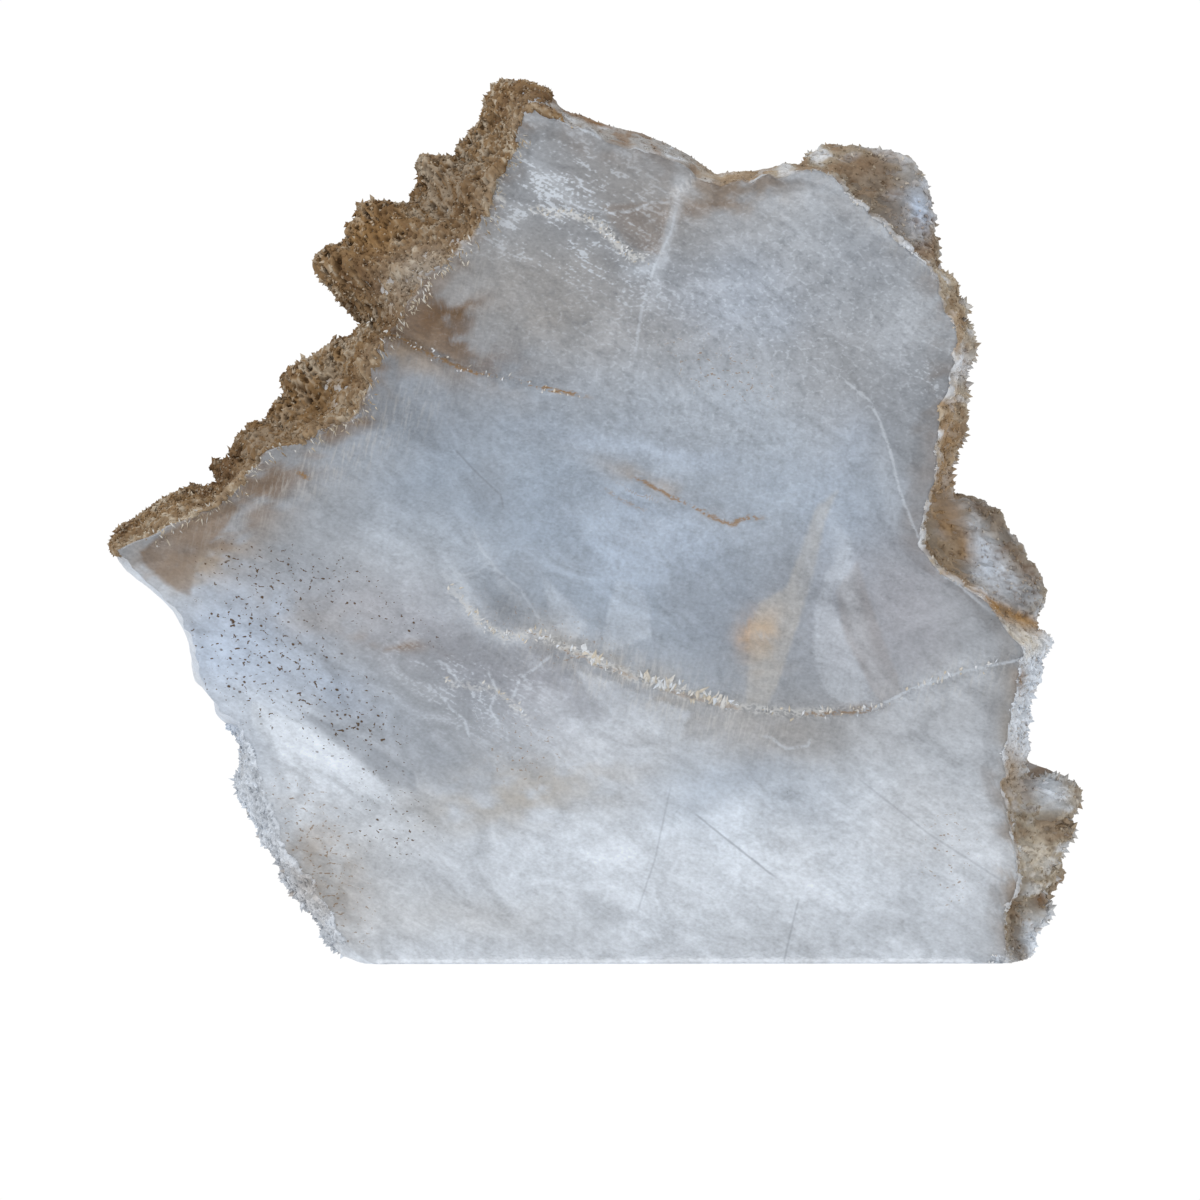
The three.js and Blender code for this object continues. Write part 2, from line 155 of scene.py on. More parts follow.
EDGE = [
    dict(name="etched lower left", knee=(0.6, 0.2), depth=0.42, lumps=0.6, inset=8, crowd=1.0,
         outer=[(-70.5, 1.5), (-75.5, 6), (-77, 10.5), (-82.5, 16), (-87, 23.5), (-88, 28),
                (-92.5, 33.5), (-95, 40), (-97.5, 43), (-100, 48.5), (-99.5, 54.5), (-99, 61)],
         face=[(-66, 3), (-71.5, 8.5), (-75, 17), (-82, 27), (-88, 39), (-92.5, 49), (-94.5, 59.5)]),
    dict(name="scooped left", knee=(0.7, 0.2), depth=0.4, lumps=0.3, inset=9, crowd=1.0,
         outer=[(-101, 65), (-106.5, 70), (-107, 74), (-112, 79), (-113.5, 86), (-114.5, 91),
                (-118.5, 98.5), (-124, 104), (-130.5, 109), (-135.5, 115)],
         face=[(-97.5, 64.5), (-103, 71), (-107.5, 78.5), (-110.5, 88), (-114.5, 97), (-121, 104.5),
               (-128, 111), (-132.5, 115)]),
    dict(name="left tip", knee=(0.5, 0.4), depth=0.55, lumps=1.0, inset=9, crowd=1.2,
         outer=[(-137, 117.5), (-135, 121), (-129, 123.5), (-124.5, 126.5), (-118.5, 130.5),
                (-114, 132.5), (-109, 132.5)],
         face=[(-133, 116), (-128, 118.5), (-123, 120.5), (-118.5, 123), (-112.5, 125.5),
               (-106.5, 128)]),
    dict(name="lower rind", knee=(0.45, 0.4), depth=0.62, lumps=1.6, inset=8, crowd=1.2,
         outer=[(-105.5, 134.5), (-107.5, 140.5), (-103.5, 140.5), (-101, 145.5), (-96.5, 149.5),
                (-91.5, 152.5), (-90.5, 155), (-86.5, 159), (-87.5, 164), (-84, 166.5), (-80.5, 169),
                (-77, 170.5), (-73, 174), (-67.5, 176)],
         face=[(-102, 132), (-98.5, 136), (-93, 141), (-90.5, 143.5), (-83.5, 146), (-74, 150.5),
               (-65.5, 154.5), (-63, 160.5), (-62.5, 166), (-61, 171.5)]),
    dict(name="rind lobes", knee=(0.5, 0.42), depth=0.66, lumps=1.6, inset=8, crowd=1.2,
         outer=[(-63.5, 180), (-67.5, 184), (-70.5, 187), (-74.5, 191.5), (-77.5, 197), (-76, 200),
                (-70, 202), (-68.5, 206.5), (-65.5, 210.5), (-65.5, 213.5), (-61, 214),
                (-55.5, 213.5), (-52.5, 213), (-50.5, 215.5), (-49, 221), (-50, 226), (-46, 227),
                (-42, 226.5), (-37, 225), (-37, 229), (-34.5, 233.5), (-31.5, 236), (-30, 242),
                (-27, 246)],
         face=[(-55.5, 179), (-50.5, 186), (-47, 192), (-42.5, 197), (-35.5, 202), (-30.5, 208.5),
               (-29, 215.5), (-25.5, 224), (-22, 229.5), (-20.5, 235.5), (-19, 239)]),
    dict(name="top edge", knee=(0.8, 0.25), depth=0.4, lumps=0.6, inset=6, crowd=1.0,
         outer=[(-21.5, 247), (-17, 246), (-12, 243), (-9, 240), (-1.5, 237), (7, 234.5), (16, 231.5),
                (21, 229.5), (28.5, 225.5)],
         face=[(-16.5, 240), (-10.5, 237.5), (2, 231.5), (13.5, 228), (21, 225.5), (27.5, 222)]),
    dict(name="top saddle", knee=(0.8, 0.25), depth=0.4, lumps=0.6, inset=6, crowd=1.0,
         outer=[(32, 222.5), (35, 221), (40, 222), (47, 222.5), (51, 223.5), (54.5, 224.5)],
         face=[(31.5, 220), (35.5, 218.5), (42.5, 220), (51, 220.5)]),
    dict(name="upper right ledge", knee=(0.12, 0.4), depth=0.62, lumps=0.9, inset=6, crowd=1.1,
         outer=[(59.5, 223.5), (61.5, 227), (65.5, 229), (72.5, 230), (81, 227.5), (86, 227),
                (92.5, 221.5), (94.5, 216.5), (96, 208.5), (95.5, 205.5), (97.5, 201.5)],
         face=[(59.5, 221.5), (67.5, 220.5), (70, 217.5), (75, 211.5), (82, 206.5), (86.5, 202),
               (91.5, 197)]),
    dict(name="upper right teeth", knee=(0.45, 0.3), depth=0.48, lumps=0.9, inset=6, crowd=1.1,
         outer=[(96.5, 195.5), (99, 193), (102, 191), (102.5, 187), (105.5, 184), (103.5, 181.5),
                (106, 179), (107, 175.5), (107.5, 171.5), (105, 168.5), (105, 162), (104.5, 155),
                (104.5, 149), (102, 144), (101, 138.5)],
         face=[(94.5, 195), (97.5, 191), (99, 185.5), (100.5, 180), (102, 174.5), (102, 170),
               (100, 165), (99.5, 160.5), (97.5, 154.5), (96.5, 149), (95.5, 142)]),
    dict(name="middle right lens", knee=(0.15, 0.4), depth=0.62, lumps=0.7, inset=6, crowd=1.1,
         outer=[(102, 133), (102, 130.5), (108, 129.5), (112, 126.5), (116, 122), (119, 117.5),
                (122, 112.5), (126.5, 106), (127.5, 100.5), (125.5, 96.5)],
         face=[(94.5, 134.5), (93, 128), (91.5, 122), (93.5, 115.5), (97, 110), (103, 106),
               (110, 101.5), (114, 96.5)]),
    dict(name="right spur", knee=(0.45, 0.3), depth=0.48, lumps=0.9, inset=6, crowd=1.1,
         outer=[(125, 92), (128.5, 89.5), (125.5, 84.5), (126, 79.5), (123.5, 76), (124, 74), (122, 72),
                (123.5, 68.5), (121.5, 64), (122.5, 59)],
         face=[(117.5, 92), (120.5, 87.5), (119.5, 82), (119, 75.5), (117.5, 70), (116.5, 64.5),
               (115.5, 59)]),
    dict(name="lower right ledge", knee=(0.15, 0.4), depth=0.62, lumps=0.9, inset=6, crowd=1.1,
         outer=[(121, 54), (124.5, 51.5), (130, 51), (135.5, 48.5), (137, 41), (134.5, 38), (136, 35.5),
                (134.5, 32), (132.5, 29), (131.5, 20.5), (129, 18), (129.5, 12), (125.5, 6)],
         face=[(115, 53), (115, 47.5), (115.5, 42), (117.5, 33.5), (119.5, 26), (119, 21), (116.5, 17),
               (116, 10)]),
    dict(name="sawn base", knee=(1.0, 0.03), depth=0.5, lumps=0.0, inset=0.5, crowd=0.6,
         outer=[(123.5, 0), (115, 0), (-56, 0), (-65, 0)],
         face=[(116, RIM_LIFT), (108, RIM_LIFT), (-55, RIM_LIFT), (-62, RIM_LIFT)]),
]
CELLS = 200
COLUMNS = 4 * CELLS


def smooth_line(points, count):
    """A curve that leaves each point along the mean of its two pieces, cut into count even steps."""
    p = np.asarray(points, float)
    length = np.linalg.norm(np.diff(p, axis=0), axis=1)[:, None]
    slope = np.diff(p, axis=0) / length
    inner = (slope[:-1] * length[1:] + slope[1:] * length[:-1]) / (length[:-1] + length[1:])
    lead = np.vstack([slope[:1], inner, slope[-1:]])
    t = np.linspace(0, 1, 9)[:-1, None]
    a, b, leave, arrive, size = (each[:, None] for each in (p[:-1], p[1:], lead[:-1], lead[1:], length))
    curve = a * (1 + 2 * t) * (1 - t) ** 2 + b * t ** 2 * (3 - 2 * t)
    curve = curve + size * (leave * t * (1 - t) ** 2 - arrive * t ** 2 * (1 - t))
    curve = np.vstack([curve.reshape(-1, 2), p[-1]])
    run = np.concatenate([[0], np.cumsum(np.linalg.norm(np.diff(curve, axis=0), axis=1))])
    return np.stack([np.interp(np.linspace(0, run[-1], count + 1), run, curve[:, k]) for k in (0, 1)], -1)


def eased(values, reach):
    """The mean of each value and its neighbours up to reach steps away, round a closed line."""
    return sum(np.roll(values, k, axis=0) for k in range(-reach, reach + 1)) / (2 * reach + 1)


def round_the_edge(key):
    """One line or one value of every stretch, as an array with a row for each column."""
    rows = []
    for stretch, following, count in zip(EDGE, EDGE[1:] + EDGE[:1], column_counts):
        if key in ("outer", "face"):
            rows.append(smooth_line(stretch[key] + following[key][:1], count)[:-1] + ORIGIN_SHIFT)
        else:
            rows.append(np.full(count, float(stretch[key])))
    return np.concatenate(rows)


stretch_lengths = [
    np.linalg.norm(np.diff(smooth_line(s["outer"] + n["outer"][:1], 200), axis=0), axis=1).sum() * s["crowd"]
    for s, n in zip(EDGE, EDGE[1:] + EDGE[:1])]
column_ends = np.round(np.cumsum(stretch_lengths) / sum(stretch_lengths) * COLUMNS).astype(int)
column_counts = np.diff(np.concatenate([[0], column_ends]))
stretch_start = {s["name"]: start / COLUMNS for s, start in zip(EDGE, column_ends - column_counts)}
print("columns a stretch:", dict(zip((s["name"] for s in EDGE), column_counts)))

# %% [markdown]
# ## The edge as one surface
# The edge is a profile carried round the outline: from the face rim over a knee to the silhouette,
# and over a second knee to the rim of the back. Five points a column and a smooth weight for each
# of them give the whole band. The rind and the teeth are later laid on this same surface.

# %% Edge surface
EASE_COLUMNS, BACK_EASE = 4, 18
BACK_KNEE = (0.3, 0.7)
RIM_JITTER = 5.0


def mix(a, b, share):
    """a where share is 0, b where it is 1."""
    return a + (b - a) * share


def edge_controls():
    """The five profile points of every column: rim, knee, silhouette, back knee, back rim."""
    face, outer = round_the_edge("face"), round_the_edge("outer")
    flat = np.stack([face[:, 0], 0 * face[:, 0], face[:, 1]], -1)
    broken = (rough_noise(flat, 4.5, 4, 91) - 0.5)[:, None] * smoothstep(3, 9, face[:, 1:])
    away = (face - CENTRE) / np.linalg.norm(face - CENTRE, axis=1, keepdims=True)
    face = face + RIM_JITTER * broken * away
    knee = eased(np.concatenate([np.full((n, 2), s["knee"]) for s, n in zip(EDGE, column_counts)]),
                 EASE_COLUMNS)
    depth, inset = (eased(round_the_edge(key), EASE_COLUMNS)[:, None] for key in ("depth", "inset"))
    back = eased(outer, BACK_EASE)
    reach = np.linalg.norm(back - CENTRE, axis=1, keepdims=True)
    back = CENTRE + (back - CENTRE) * (1 - inset / reach)
    flat = [face, mix(face, outer, knee[:, :1]), outer, mix(outer, back, BACK_KNEE[0]), back]
    deep = [0 * depth, knee[:, 1:], depth, mix(depth, 1, BACK_KNEE[1]), 0 * depth + 1]
    points = [np.hstack([p[:, :1], FACE_Y + THICKNESS * d, p[:, 1:]]) for p, d in zip(flat, deep)]
    return np.stack(points, axis=1)


def profile_weights(v):
    """Catmull-Rom weights of the five profile points at v from 0 (face rim) to 1 (back rim)."""
    spans = 4
    place = np.clip(np.asarray(v, float) * spans, 0, spans - 1e-9)
    span = place.astype(int)
    t = place - span
    quad = np.stack([-t + 2 * t ** 2 - t ** 3, 2 - 5 * t ** 2 + 3 * t ** 3,
                     t + 4 * t ** 2 - 3 * t ** 3, -t ** 2 + t ** 3], -1) / 2
    weights = np.zeros((len(place), spans + 1))
    for k in range(4):
        np.add.at(weights, (np.arange(len(place)), np.clip(span + k - 1, 0, spans)), quad[:, k])
    return weights


def round_values(table, u):
    """Rows of a table that runs once round the edge, at u from 0 to 1 with wrap-around."""
    flat = np.vstack([table.reshape(COLUMNS, -1), table.reshape(COLUMNS, -1)[:1]])
    at = np.arange(COLUMNS + 1) / COLUMNS
    columns = [np.interp(np.mod(u, 1), at, flat[:, k]) for k in range(flat.shape[1])]
    return np.stack(columns, -1).reshape(np.shape(u) + table.shape[1:])


controls = edge_controls()


def edge_surface(u, v):
    """Points of the edge band on a grid: u round the outline, v from face rim to back rim."""
    points = np.einsum("vk,ukc->uvc", profile_weights(v), round_values(controls, u))
    points[..., 2] = np.maximum(points[..., 2], 0)
    return points


print("edge band from", np.round(controls.min((0, 1)), 1), "to", np.round(controls.max((0, 1)), 1))

# %% [markdown]
# ## Places on the face
# The marks on the cleavage face are placed by what a person reads off the photograph: short lines
# and spots in its 1200 pixel frame. One function turns such a place into millimetres on the slab.
# Lines are kept as signed distances, because a distance stays sharp between the points of a mesh.

# %% Places read off the photograph
PIXEL_MM = 0.28
PHOTO_MIDDLE_X, PHOTO_BASE_Y = 588.7, 965.0


def photo(*places):
    """Photograph pixels to millimetres on the slab: x to the right, z up from the base."""
    return PIXEL_MM * np.array([(px - PHOTO_MIDDLE_X, PHOTO_BASE_Y - py) for px, py in places])


def line_distance(line, x, z):
    """Distance from every (x, z) to the nearest of a line's straight pieces."""
    best = np.full(np.shape(x), 1e9)
    for (ax, az), (bx, bz) in zip(line[:-1], line[1:]):
        squared = (bx - ax) ** 2 + (bz - az) ** 2
        along = np.clip(((x - ax) * (bx - ax) + (z - az) * (bz - az)) / squared, 0, 1)
        best = np.minimum(best, np.hypot(x - mix(ax, bx, along), z - mix(az, bz, along)))
    return best


def spot(x, z, place, radius_x, radius_z, lean=0.0):
    """A soft round patch, 1 in its middle, with two radii and a lean in degrees."""
    (cx, cz), = photo(place)
    c, s = math.cos(math.radians(lean)), math.sin(math.radians(lean))
    along, across = (x - cx) * c + (z - cz) * s, (z - cz) * c - (x - cx) * s
    return np.exp(-(along / radius_x) ** 2 - (across / radius_z) ** 2)


ARC_CRACK = photo((443, 565), (456, 596), (479, 621), (506, 637), (534, 633), (563, 646), (620, 672),
                  (680, 692), (725, 705), (790, 713), (850, 712), (875, 708), (910, 690), (960, 672),
                  (1010, 662), (1060, 650))
NOTCH_CRACK = photo((350, 316), (395, 335), (420, 350), (460, 368), (520, 382), (600, 400))
FACET_FLOOR = photo((480, 186), (545, 205), (600, 222), (640, 255), (668, 262))
FACET_SIDE = photo((668, 262), (662, 230), (672, 195), (705, 165))
ICE_RIDGE = photo((195, 640), (250, 690), (330, 752), (420, 805))
ICE_VALLEY = photo((260, 675), (330, 725), (420, 785))
print("arc crack from", np.round(ARC_CRACK[0], 1), "to", np.round(ARC_CRACK[-1], 1))

# %% [markdown]
# ## Relief of the two faces
# Gypsum splits in sheets, so its faces are flat but stepped: a lower sheet below the arc-shaped
# crack, a facet under the top edge, a groove that runs in from the notch. These could be sculpted,
# but a function of x and z is exact for any mesh, and flakes can later be laid on the same surface.

# %% Face relief
LEDGE_SOFT = 0.9


def face_relief(x, z):
    """How far the cleavage face lies behind its plane, in mm: ledges, a crack, swells and scales."""
    flat = np.stack([x, 0 * x, z], -1)
    wander = 3.2 * (rough_noise(flat, 9, 4, 3) - 0.5)
    below_arc = smoothstep(-LEDGE_SOFT, LEDGE_SOFT, np.interp(x, *ARC_CRACK.T) + wander - z)
    ledge = below_arc * np.interp(x, [-40, 0, 60, 130], [0, 0.7, 1.5, 1.8])
    over_floor = smoothstep(-LEDGE_SOFT, LEDGE_SOFT, z - np.interp(x, *FACET_FLOOR.T) + 2 * wander)
    left_of_side = smoothstep(-LEDGE_SOFT, LEDGE_SOFT,
                              np.interp(z, *FACET_SIDE[:, ::-1].T) - x + 2 * wander)
    facet = 1.5 * over_floor * left_of_side
    steps = 0.5 * over_floor * np.floor(4 * rough_noise(flat * [1, 1, 2.2], 26, 3, 8)) / 2
    groove = 2.6 * np.exp(-(line_distance(NOTCH_CRACK, x, z) / 1.3) ** 2) * smoothstep(-8, -50, x)
    swell = 1.6 * (rough_noise(flat, 55, 3, 11) - 0.5)
    ridge = -1.6 * np.exp(-(line_distance(ICE_RIDGE, x, z) / 9) ** 2)
    valley = 1.8 * np.exp(-(line_distance(ICE_VALLEY, x, z) / 7) ** 2)
    nearest = pore_noise(flat + 1.2 * wander[..., None], 4.2, 21)
    scaly = spot(x, z, (810, 300), 42, 30) + 0.35
    scales = 0.35 * scaly * (0.6 - nearest)
    fine = 0.5 * (rough_noise(flat * [1, 1, 1.6], 5, 3, 5) - 0.5)
    return ledge + facet + steps + groove + swell + ridge + valley - scales + fine


def back_relief(x, z):
    """How far the back lies in front of its plane, in mm: two cleavage steps and swells."""
    flat = np.stack([x, 0 * x + 90, z], -1)
    wander = 10 * (rough_noise(flat, 16, 4, 31) - 0.5)
    upper = 5 * smoothstep(-1, 1, z - 182 - 0.08 * x + wander)
    left = 8 * smoothstep(-1, 1, -x - 78 + 0.36 * (100 - z) + wander)
    swell = 2.5 * (rough_noise(flat, 45, 4, 33) - 0.5)
    fine = 0.8 * (rough_noise(flat * [1, 1, 0.5], 6, 3, 35) - 0.5)
    return np.maximum(upper, left) + swell + fine


print("relief at the centre, mm:", np.round(face_relief(CENTRE[:1], CENTRE[1:]), 2))

# %% [markdown]
# ## The slab's own surface
# The two big faces are square grids pressed into the outline: each square ring of the grid becomes
# one ring of the face. That keeps the cells nearly even, with no pole where they crowd together.
# The edge band joins the two rims, so the whole slab is one closed skin.

# %% Slab skin
EDGE_RINGS = np.linspace(0, 1, 25)[1:-1]
FRONT_KNEE_SHARE, BACK_KNEE_SHARE = 0.6, 0.7


def follow_relief(profiles):
    """Profile points that end where the relief of a face cuts them, so that no lip stands round it."""
    moved = profiles.copy()
    front_move = face_relief(profiles[:, 0, 0], profiles[:, 0, 2])
    moved[:, 0, 1] += front_move
    moved[:, 1, 1] += FRONT_KNEE_SHARE * front_move
    outer, knee, rim = (profiles[:, k] for k in (2, 3, 4))
    cut = (BACK_Y - back_relief(rim[:, 0], rim[:, 2]))[:, None]
    to_knee = np.clip((cut - outer[:, 1:2]) / (knee - outer)[:, 1:2], 0, 1)
    to_rim = np.clip((cut - knee[:, 1:2]) / (rim - knee)[:, 1:2], 0, 1)
    end = mix(mix(outer, knee, to_knee), rim, to_rim)
    moved[:, 3] = mix(outer, mix(outer, knee, to_knee), mix(BACK_KNEE_SHARE, 1, to_rim))
    moved[:, 4] = np.stack([end[:, 0], BACK_Y - back_relief(end[:, 0], end[:, 2]), end[:, 2]], -1)
    return moved


controls = follow_relief(controls)


def square_rings():
    """Every grid point's ring (0 centre, 1 rim) and its place round that ring from 0 to 1."""
    a = np.linspace(-1, 1, CELLS + 1)
    across, up = np.meshgrid(a, a, indexing="ij")
    ring = np.maximum(abs(across), abs(up))
    size = np.where(ring > 0, ring, 1)
    sides = [across <= -ring, up >= ring, across >= ring]
    round_place = np.select(sides, [up / size + 1, across / size + 3, 5 - up / size], 7 - across / size)
    return ring, np.mod(round_place / 8, 1)


def face_points(rim_point, plane_y, relief, inward):
    """One big face: rings of the rim line shrunk towards the centre, moved by the relief."""
    ring, place = square_rings()
    rim = round_values(controls[:, rim_point], place)
    x = CENTRE[0] + ring * (rim[..., 0] - CENTRE[0])
    z = CENTRE[1] + ring * (rim[..., 2] - CENTRE[1])
    y = plane_y + inward * relief(x, z)
    return np.stack([x, y, z], -1).reshape(-1, 3)


def grid_quads(index):
    """Quads of a grid of vertex numbers, wound so that x by z faces towards -Y."""
    return np.stack([index[:-1, :-1], index[1:, :-1], index[1:, 1:], index[:-1, 1:]], -1).reshape(-1, 4)


def slab_skin():
    """Vertices and quads of the closed skin: front grid, edge band and back grid."""
    front = face_points(0, FACE_Y, face_relief, 1)
    back = face_points(4, BACK_Y, back_relief, -1)
    band = edge_surface(np.arange(COLUMNS) / COLUMNS, EDGE_RINGS)
    index = np.arange((CELLS + 1) ** 2).reshape(CELLS + 1, CELLS + 1)
    rim = np.concatenate([index[0, :-1], index[:-1, -1], index[-1, :0:-1], index[:0:-1, 0]])
    band_index = len(front) + np.arange(band.shape[0] * band.shape[1]).reshape(band.shape[:2])
    back_start = len(front) + band_index.size
    rows = np.column_stack([rim, band_index, back_start + rim])
    following = np.roll(rows, -1, axis=0)
    strips = np.stack([rows[:, :-1], following[:, :-1], following[:, 1:], rows[:, 1:]], -1).reshape(-1, 4)
    quads = np.concatenate([grid_quads(index), strips, back_start + grid_quads(index)[:, ::-1]])
    return np.concatenate([front, band.reshape(-1, 3), back]), quads


def vertex_normals(points, faces):
    """Unit normals: the sum of the normals of the faces round each vertex."""
    corners = points[faces]
    normal = np.cross(corners[:, 2] - corners[:, 0], corners[:, -1] - corners[:, 1])
    total = np.zeros_like(points)
    for k in range(faces.shape[1]):
        np.add.at(total, faces[:, k], normal)
    return total / np.maximum(np.linalg.norm(total, axis=1, keepdims=True), 1e-9)


slab_points, slab_quads = slab_skin()
slab_normals = vertex_normals(slab_points, slab_quads)
print("slab skin:", len(slab_points), "points,", 2 * len(slab_quads), "triangles")

# %% [markdown]
# ## Relief of the edge
# Etching left the rims toothed. A cellular pattern does that: its ridges meet in points, so moving
# the skin out along those ridges raises small teeth. The heights fade out at both rims, and under
# the rind the crystal is sunk a little, because the rind is a skin of its own laid over it.

# %% Roughen the edge
TEETH_MM = {"etched lower left": 1.5, "scooped left": 0.3, "upper right ledge": 1.0, "top edge": 0.4,
            "top saddle": 0.7, "upper right teeth": 2.2, "middle right lens": 0.9, "right spur": 2.0,
            "lower right ledge": 1.8}
RIND_SINK = 1.6
RINDS = ("left tip", "lower rind", "rind lobes")


def by_stretch(values):
    """A value for each column, by the name of its stretch or else 0, eased into the next."""
    rows = [np.full(n, float(values.get(s["name"], 0))) for s, n in zip(EDGE, column_counts)]
    return eased(np.concatenate(rows), EASE_COLUMNS)


def edge_relief(points):
    """How far the band moves out: lumps, etched teeth, and a sink under the rind; by (u, v)."""
    fade = np.sin(np.pi * EDGE_RINGS)[None]
    lumps = eased(round_the_edge("lumps"), EASE_COLUMNS)[:, None]
    lumpy = lumps * 2.2 * (rough_noise(points, 8, 4, 41) - 0.5)
    nearest = pore_noise(points * [1, 0.55, 1], 2.7, 43)
    teeth = by_stretch(TEETH_MM)[:, None] * 1.6 * (nearest - 0.5)
    sink = by_stretch(dict.fromkeys(RINDS, RIND_SINK))[:, None]
    return fade * (lumpy + teeth - sink)


band_size = (COLUMNS, len(EDGE_RINGS))
band = slice((CELLS + 1) ** 2, (CELLS + 1) ** 2 + COLUMNS * len(EDGE_RINGS))
moves = edge_relief(slab_points[band].reshape(band_size + (3,)))
slab_points[band] += slab_normals[band] * moves.reshape(-1, 1)
slab_points[:, 2] = np.maximum(slab_points[:, 2], 0)
slab_normals = vertex_normals(slab_points, slab_quads)
print("edge relief from", round(moves.min(), 2), "to", round(moves.max(), 2), "mm")

# %% [markdown]
# ## Colours of the crystal
# Colour in selenite is soft: clouds of milk and ice, warm stains near cracks. It is worked out at
# the mesh points from a few named spots and lines and kept as an attribute of the mesh. Fine fibres
# and specks come later, in the material.

# %% Paints


def paint(red, green, blue):
    """A screen colour from 0 to 255 as the linear light that a shader works with."""
    share = np.array([red, green, blue]) / 255
    return np.where(share <= 0.04045, share / 12.92, ((share + 0.055) / 1.055) ** 2.4)


MILK, SKY, ICE = paint(223, 231, 241), paint(186, 200, 220), paint(148, 163, 181)
MIST, SHADE = paint(152, 156, 162), paint(114, 121, 132)
WARM, ROSE = paint(154, 143, 130), paint(158, 156, 163)
CREAM, SAND, TAN = paint(208, 198, 180), paint(160, 149, 132), paint(164, 142, 114)
BARK, FAWN, DUN = paint(126, 112, 98), paint(156, 141, 124), paint(122, 103, 86)
HONEY, AMBER = paint(196, 154, 102), paint(158, 120, 68)
RUST, UMBER = paint(124, 94, 62), paint(78, 50, 16)
print("milk in linear light:", np.round(MILK, 2))

# %% Where clouds, stains and edge spots lie
CLOUDS = [
    (MILK, 0.45, (922, 687), 15, 1.5, 27), (ICE, 0.75, (620, 560), 62, 32, -15),
    (ICE, 0.60, (480, 480), 40, 26, -10), (ICE, 0.45, (700, 430), 46, 20, -15),
    (SHADE, 0.50, (412, 402), 18, 12, -20), (SHADE, 0.50, (722, 610), 14, 18, 0),
    (SHADE, 0.70, (490, 682), 16, 8, -25), (SHADE, 0.50, (555, 665), 8, 6, -25),
    (SHADE, 0.30, (900, 400), 14, 20, 0), (SHADE, 0.45, (735, 775), 16, 6, 35),
    (SHADE, 0.40, (430, 750), 22, 10, -30), (SHADE, 0.60, (780, 565), 4, 8, 30),
    (SHADE, 0.35, (505, 500), 8, 5, -45), (SHADE, 0.40, (676, 443), 14, 3, -20),
    (SHADE, 0.35, (540, 433), 8, 2, -45), (SHADE, 0.50, (512, 358), 7, 5, 0),
    (SHADE, 0.40, (664, 164), 3, 9, 20), (SHADE, 0.45, (908, 352), 7, 9, 0),
    (SHADE, 0.35, (590, 240), 20, 4, -30), (SAND, 0.45, (330, 870), 20, 16, 0),
    (MIST, 0.35, (420, 870), 30, 16, 0), (SAND, 0.30, (470, 920), 24, 6, 0),
    (WARM, 0.60, (640, 190), 24, 14, -20), (WARM, 0.45, (560, 290), 42, 16, -10),
    (WARM, 0.45, (770, 730), 34, 9, 0), (ROSE, 0.60, (890, 600), 22, 24, 0),
    (ROSE, 0.50, (540, 690), 26, 14, -20), (ROSE, 0.45, (390, 620), 24, 10, -20),
    (MILK, 0.30, (760, 185), 26, 9, -10), (MILK, 0.22, (720, 420), 36, 18, -20),
    (SKY, 0.40, (640, 545), 22, 12, -10), (SKY, 0.30, (830, 510), 9, 20, 0),
    (MILK, 0.28, (410, 560), 20, 14, 0), (SKY, 0.80, (240, 665), 18, 26, 20),
    (SKY, 0.55, (335, 690), 20, 9, -35), (MILK, 0.60, (300, 745), 28, 7, -35),
    (MILK, 0.60, (310, 790), 30, 12, -40), (MILK, 0.40, (150, 600), 10, 12, -30),
    (MILK, 0.50, (680, 860), 44, 20, 0), (MILK, 0.40, (600, 730), 30, 8, -20),
    (MILK, 0.30, (870, 800), 26, 16, 0), (MILK, 0.35, (950, 690), 20, 8, 15),
    (MILK, 0.25, (860, 250), 30, 14, -40), (MILK, 0.35, (920, 330), 9, 14, -60),
    (MILK, 0.40, (880, 222), 28, 3, -43), (MILK, 0.35, (514, 588), 14, 1.8, -51),
    (MILK, 0.35, (460, 596), 8, 2, -56), (MILK, 0.40, (504, 631), 8, 1.8, -12),
    (MILK, 0.30, (842, 540), 16, 1.8, -85), (MILK, 0.28, (853, 590), 18, 2, -75),
    (MILK, 0.28, (866, 640), 18, 2, -68), (MILK, 0.25, (888, 470), 14, 1.8, -78),
    (SKY, 0.45, (660, 458), 30, 3, -12), (MILK, 0.60, (643, 260), 6, 2, 10),
    # The small milk spot at (683, 192) is a painted glint.
    (MILK, 0.50, (683, 192), 2.5, 2.5, 0), (MILK, 0.35, (572, 128), 16, 2, -22),
    (MILK, 0.30, (560, 175), 14, 2, -30), (SKY, 0.40, (735, 300), 24, 12, -10),
    (MILK, 0.45, (690, 850), 26, 12, 0), (SKY, 0.35, (850, 440), 8, 12, 0),
    (MILK, 0.30, (620, 720), 18, 2, -22), (MILK, 0.30, (560, 750), 16, 2, -30),
    (SHADE, 0.35, (612, 185), 26, 10, -20), (SHADE, 0.30, (650, 268), 14, 8, -20),
    (SHADE, 0.40, (865, 262), 12, 12, -40), (SHADE, 0.30, (487, 712), 12, 10, 0),
    (ICE, 0.40, (712, 788), 14, 12, 0), (ICE, 0.30, (790, 790), 12, 12, 0),
    (ICE, 0.45, (790, 490), 13, 13, 0), (ICE, 0.45, (862, 492), 12, 14, 0),
    (SKY, 0.45, (262, 640), 14, 14, 0), (MIST, 0.30, (880, 935), 44, 9, 0),
    (MIST, 0.25, (560, 935), 26, 9, 0), (MILK, 0.70, (122, 564), 5, 5, -40),
]
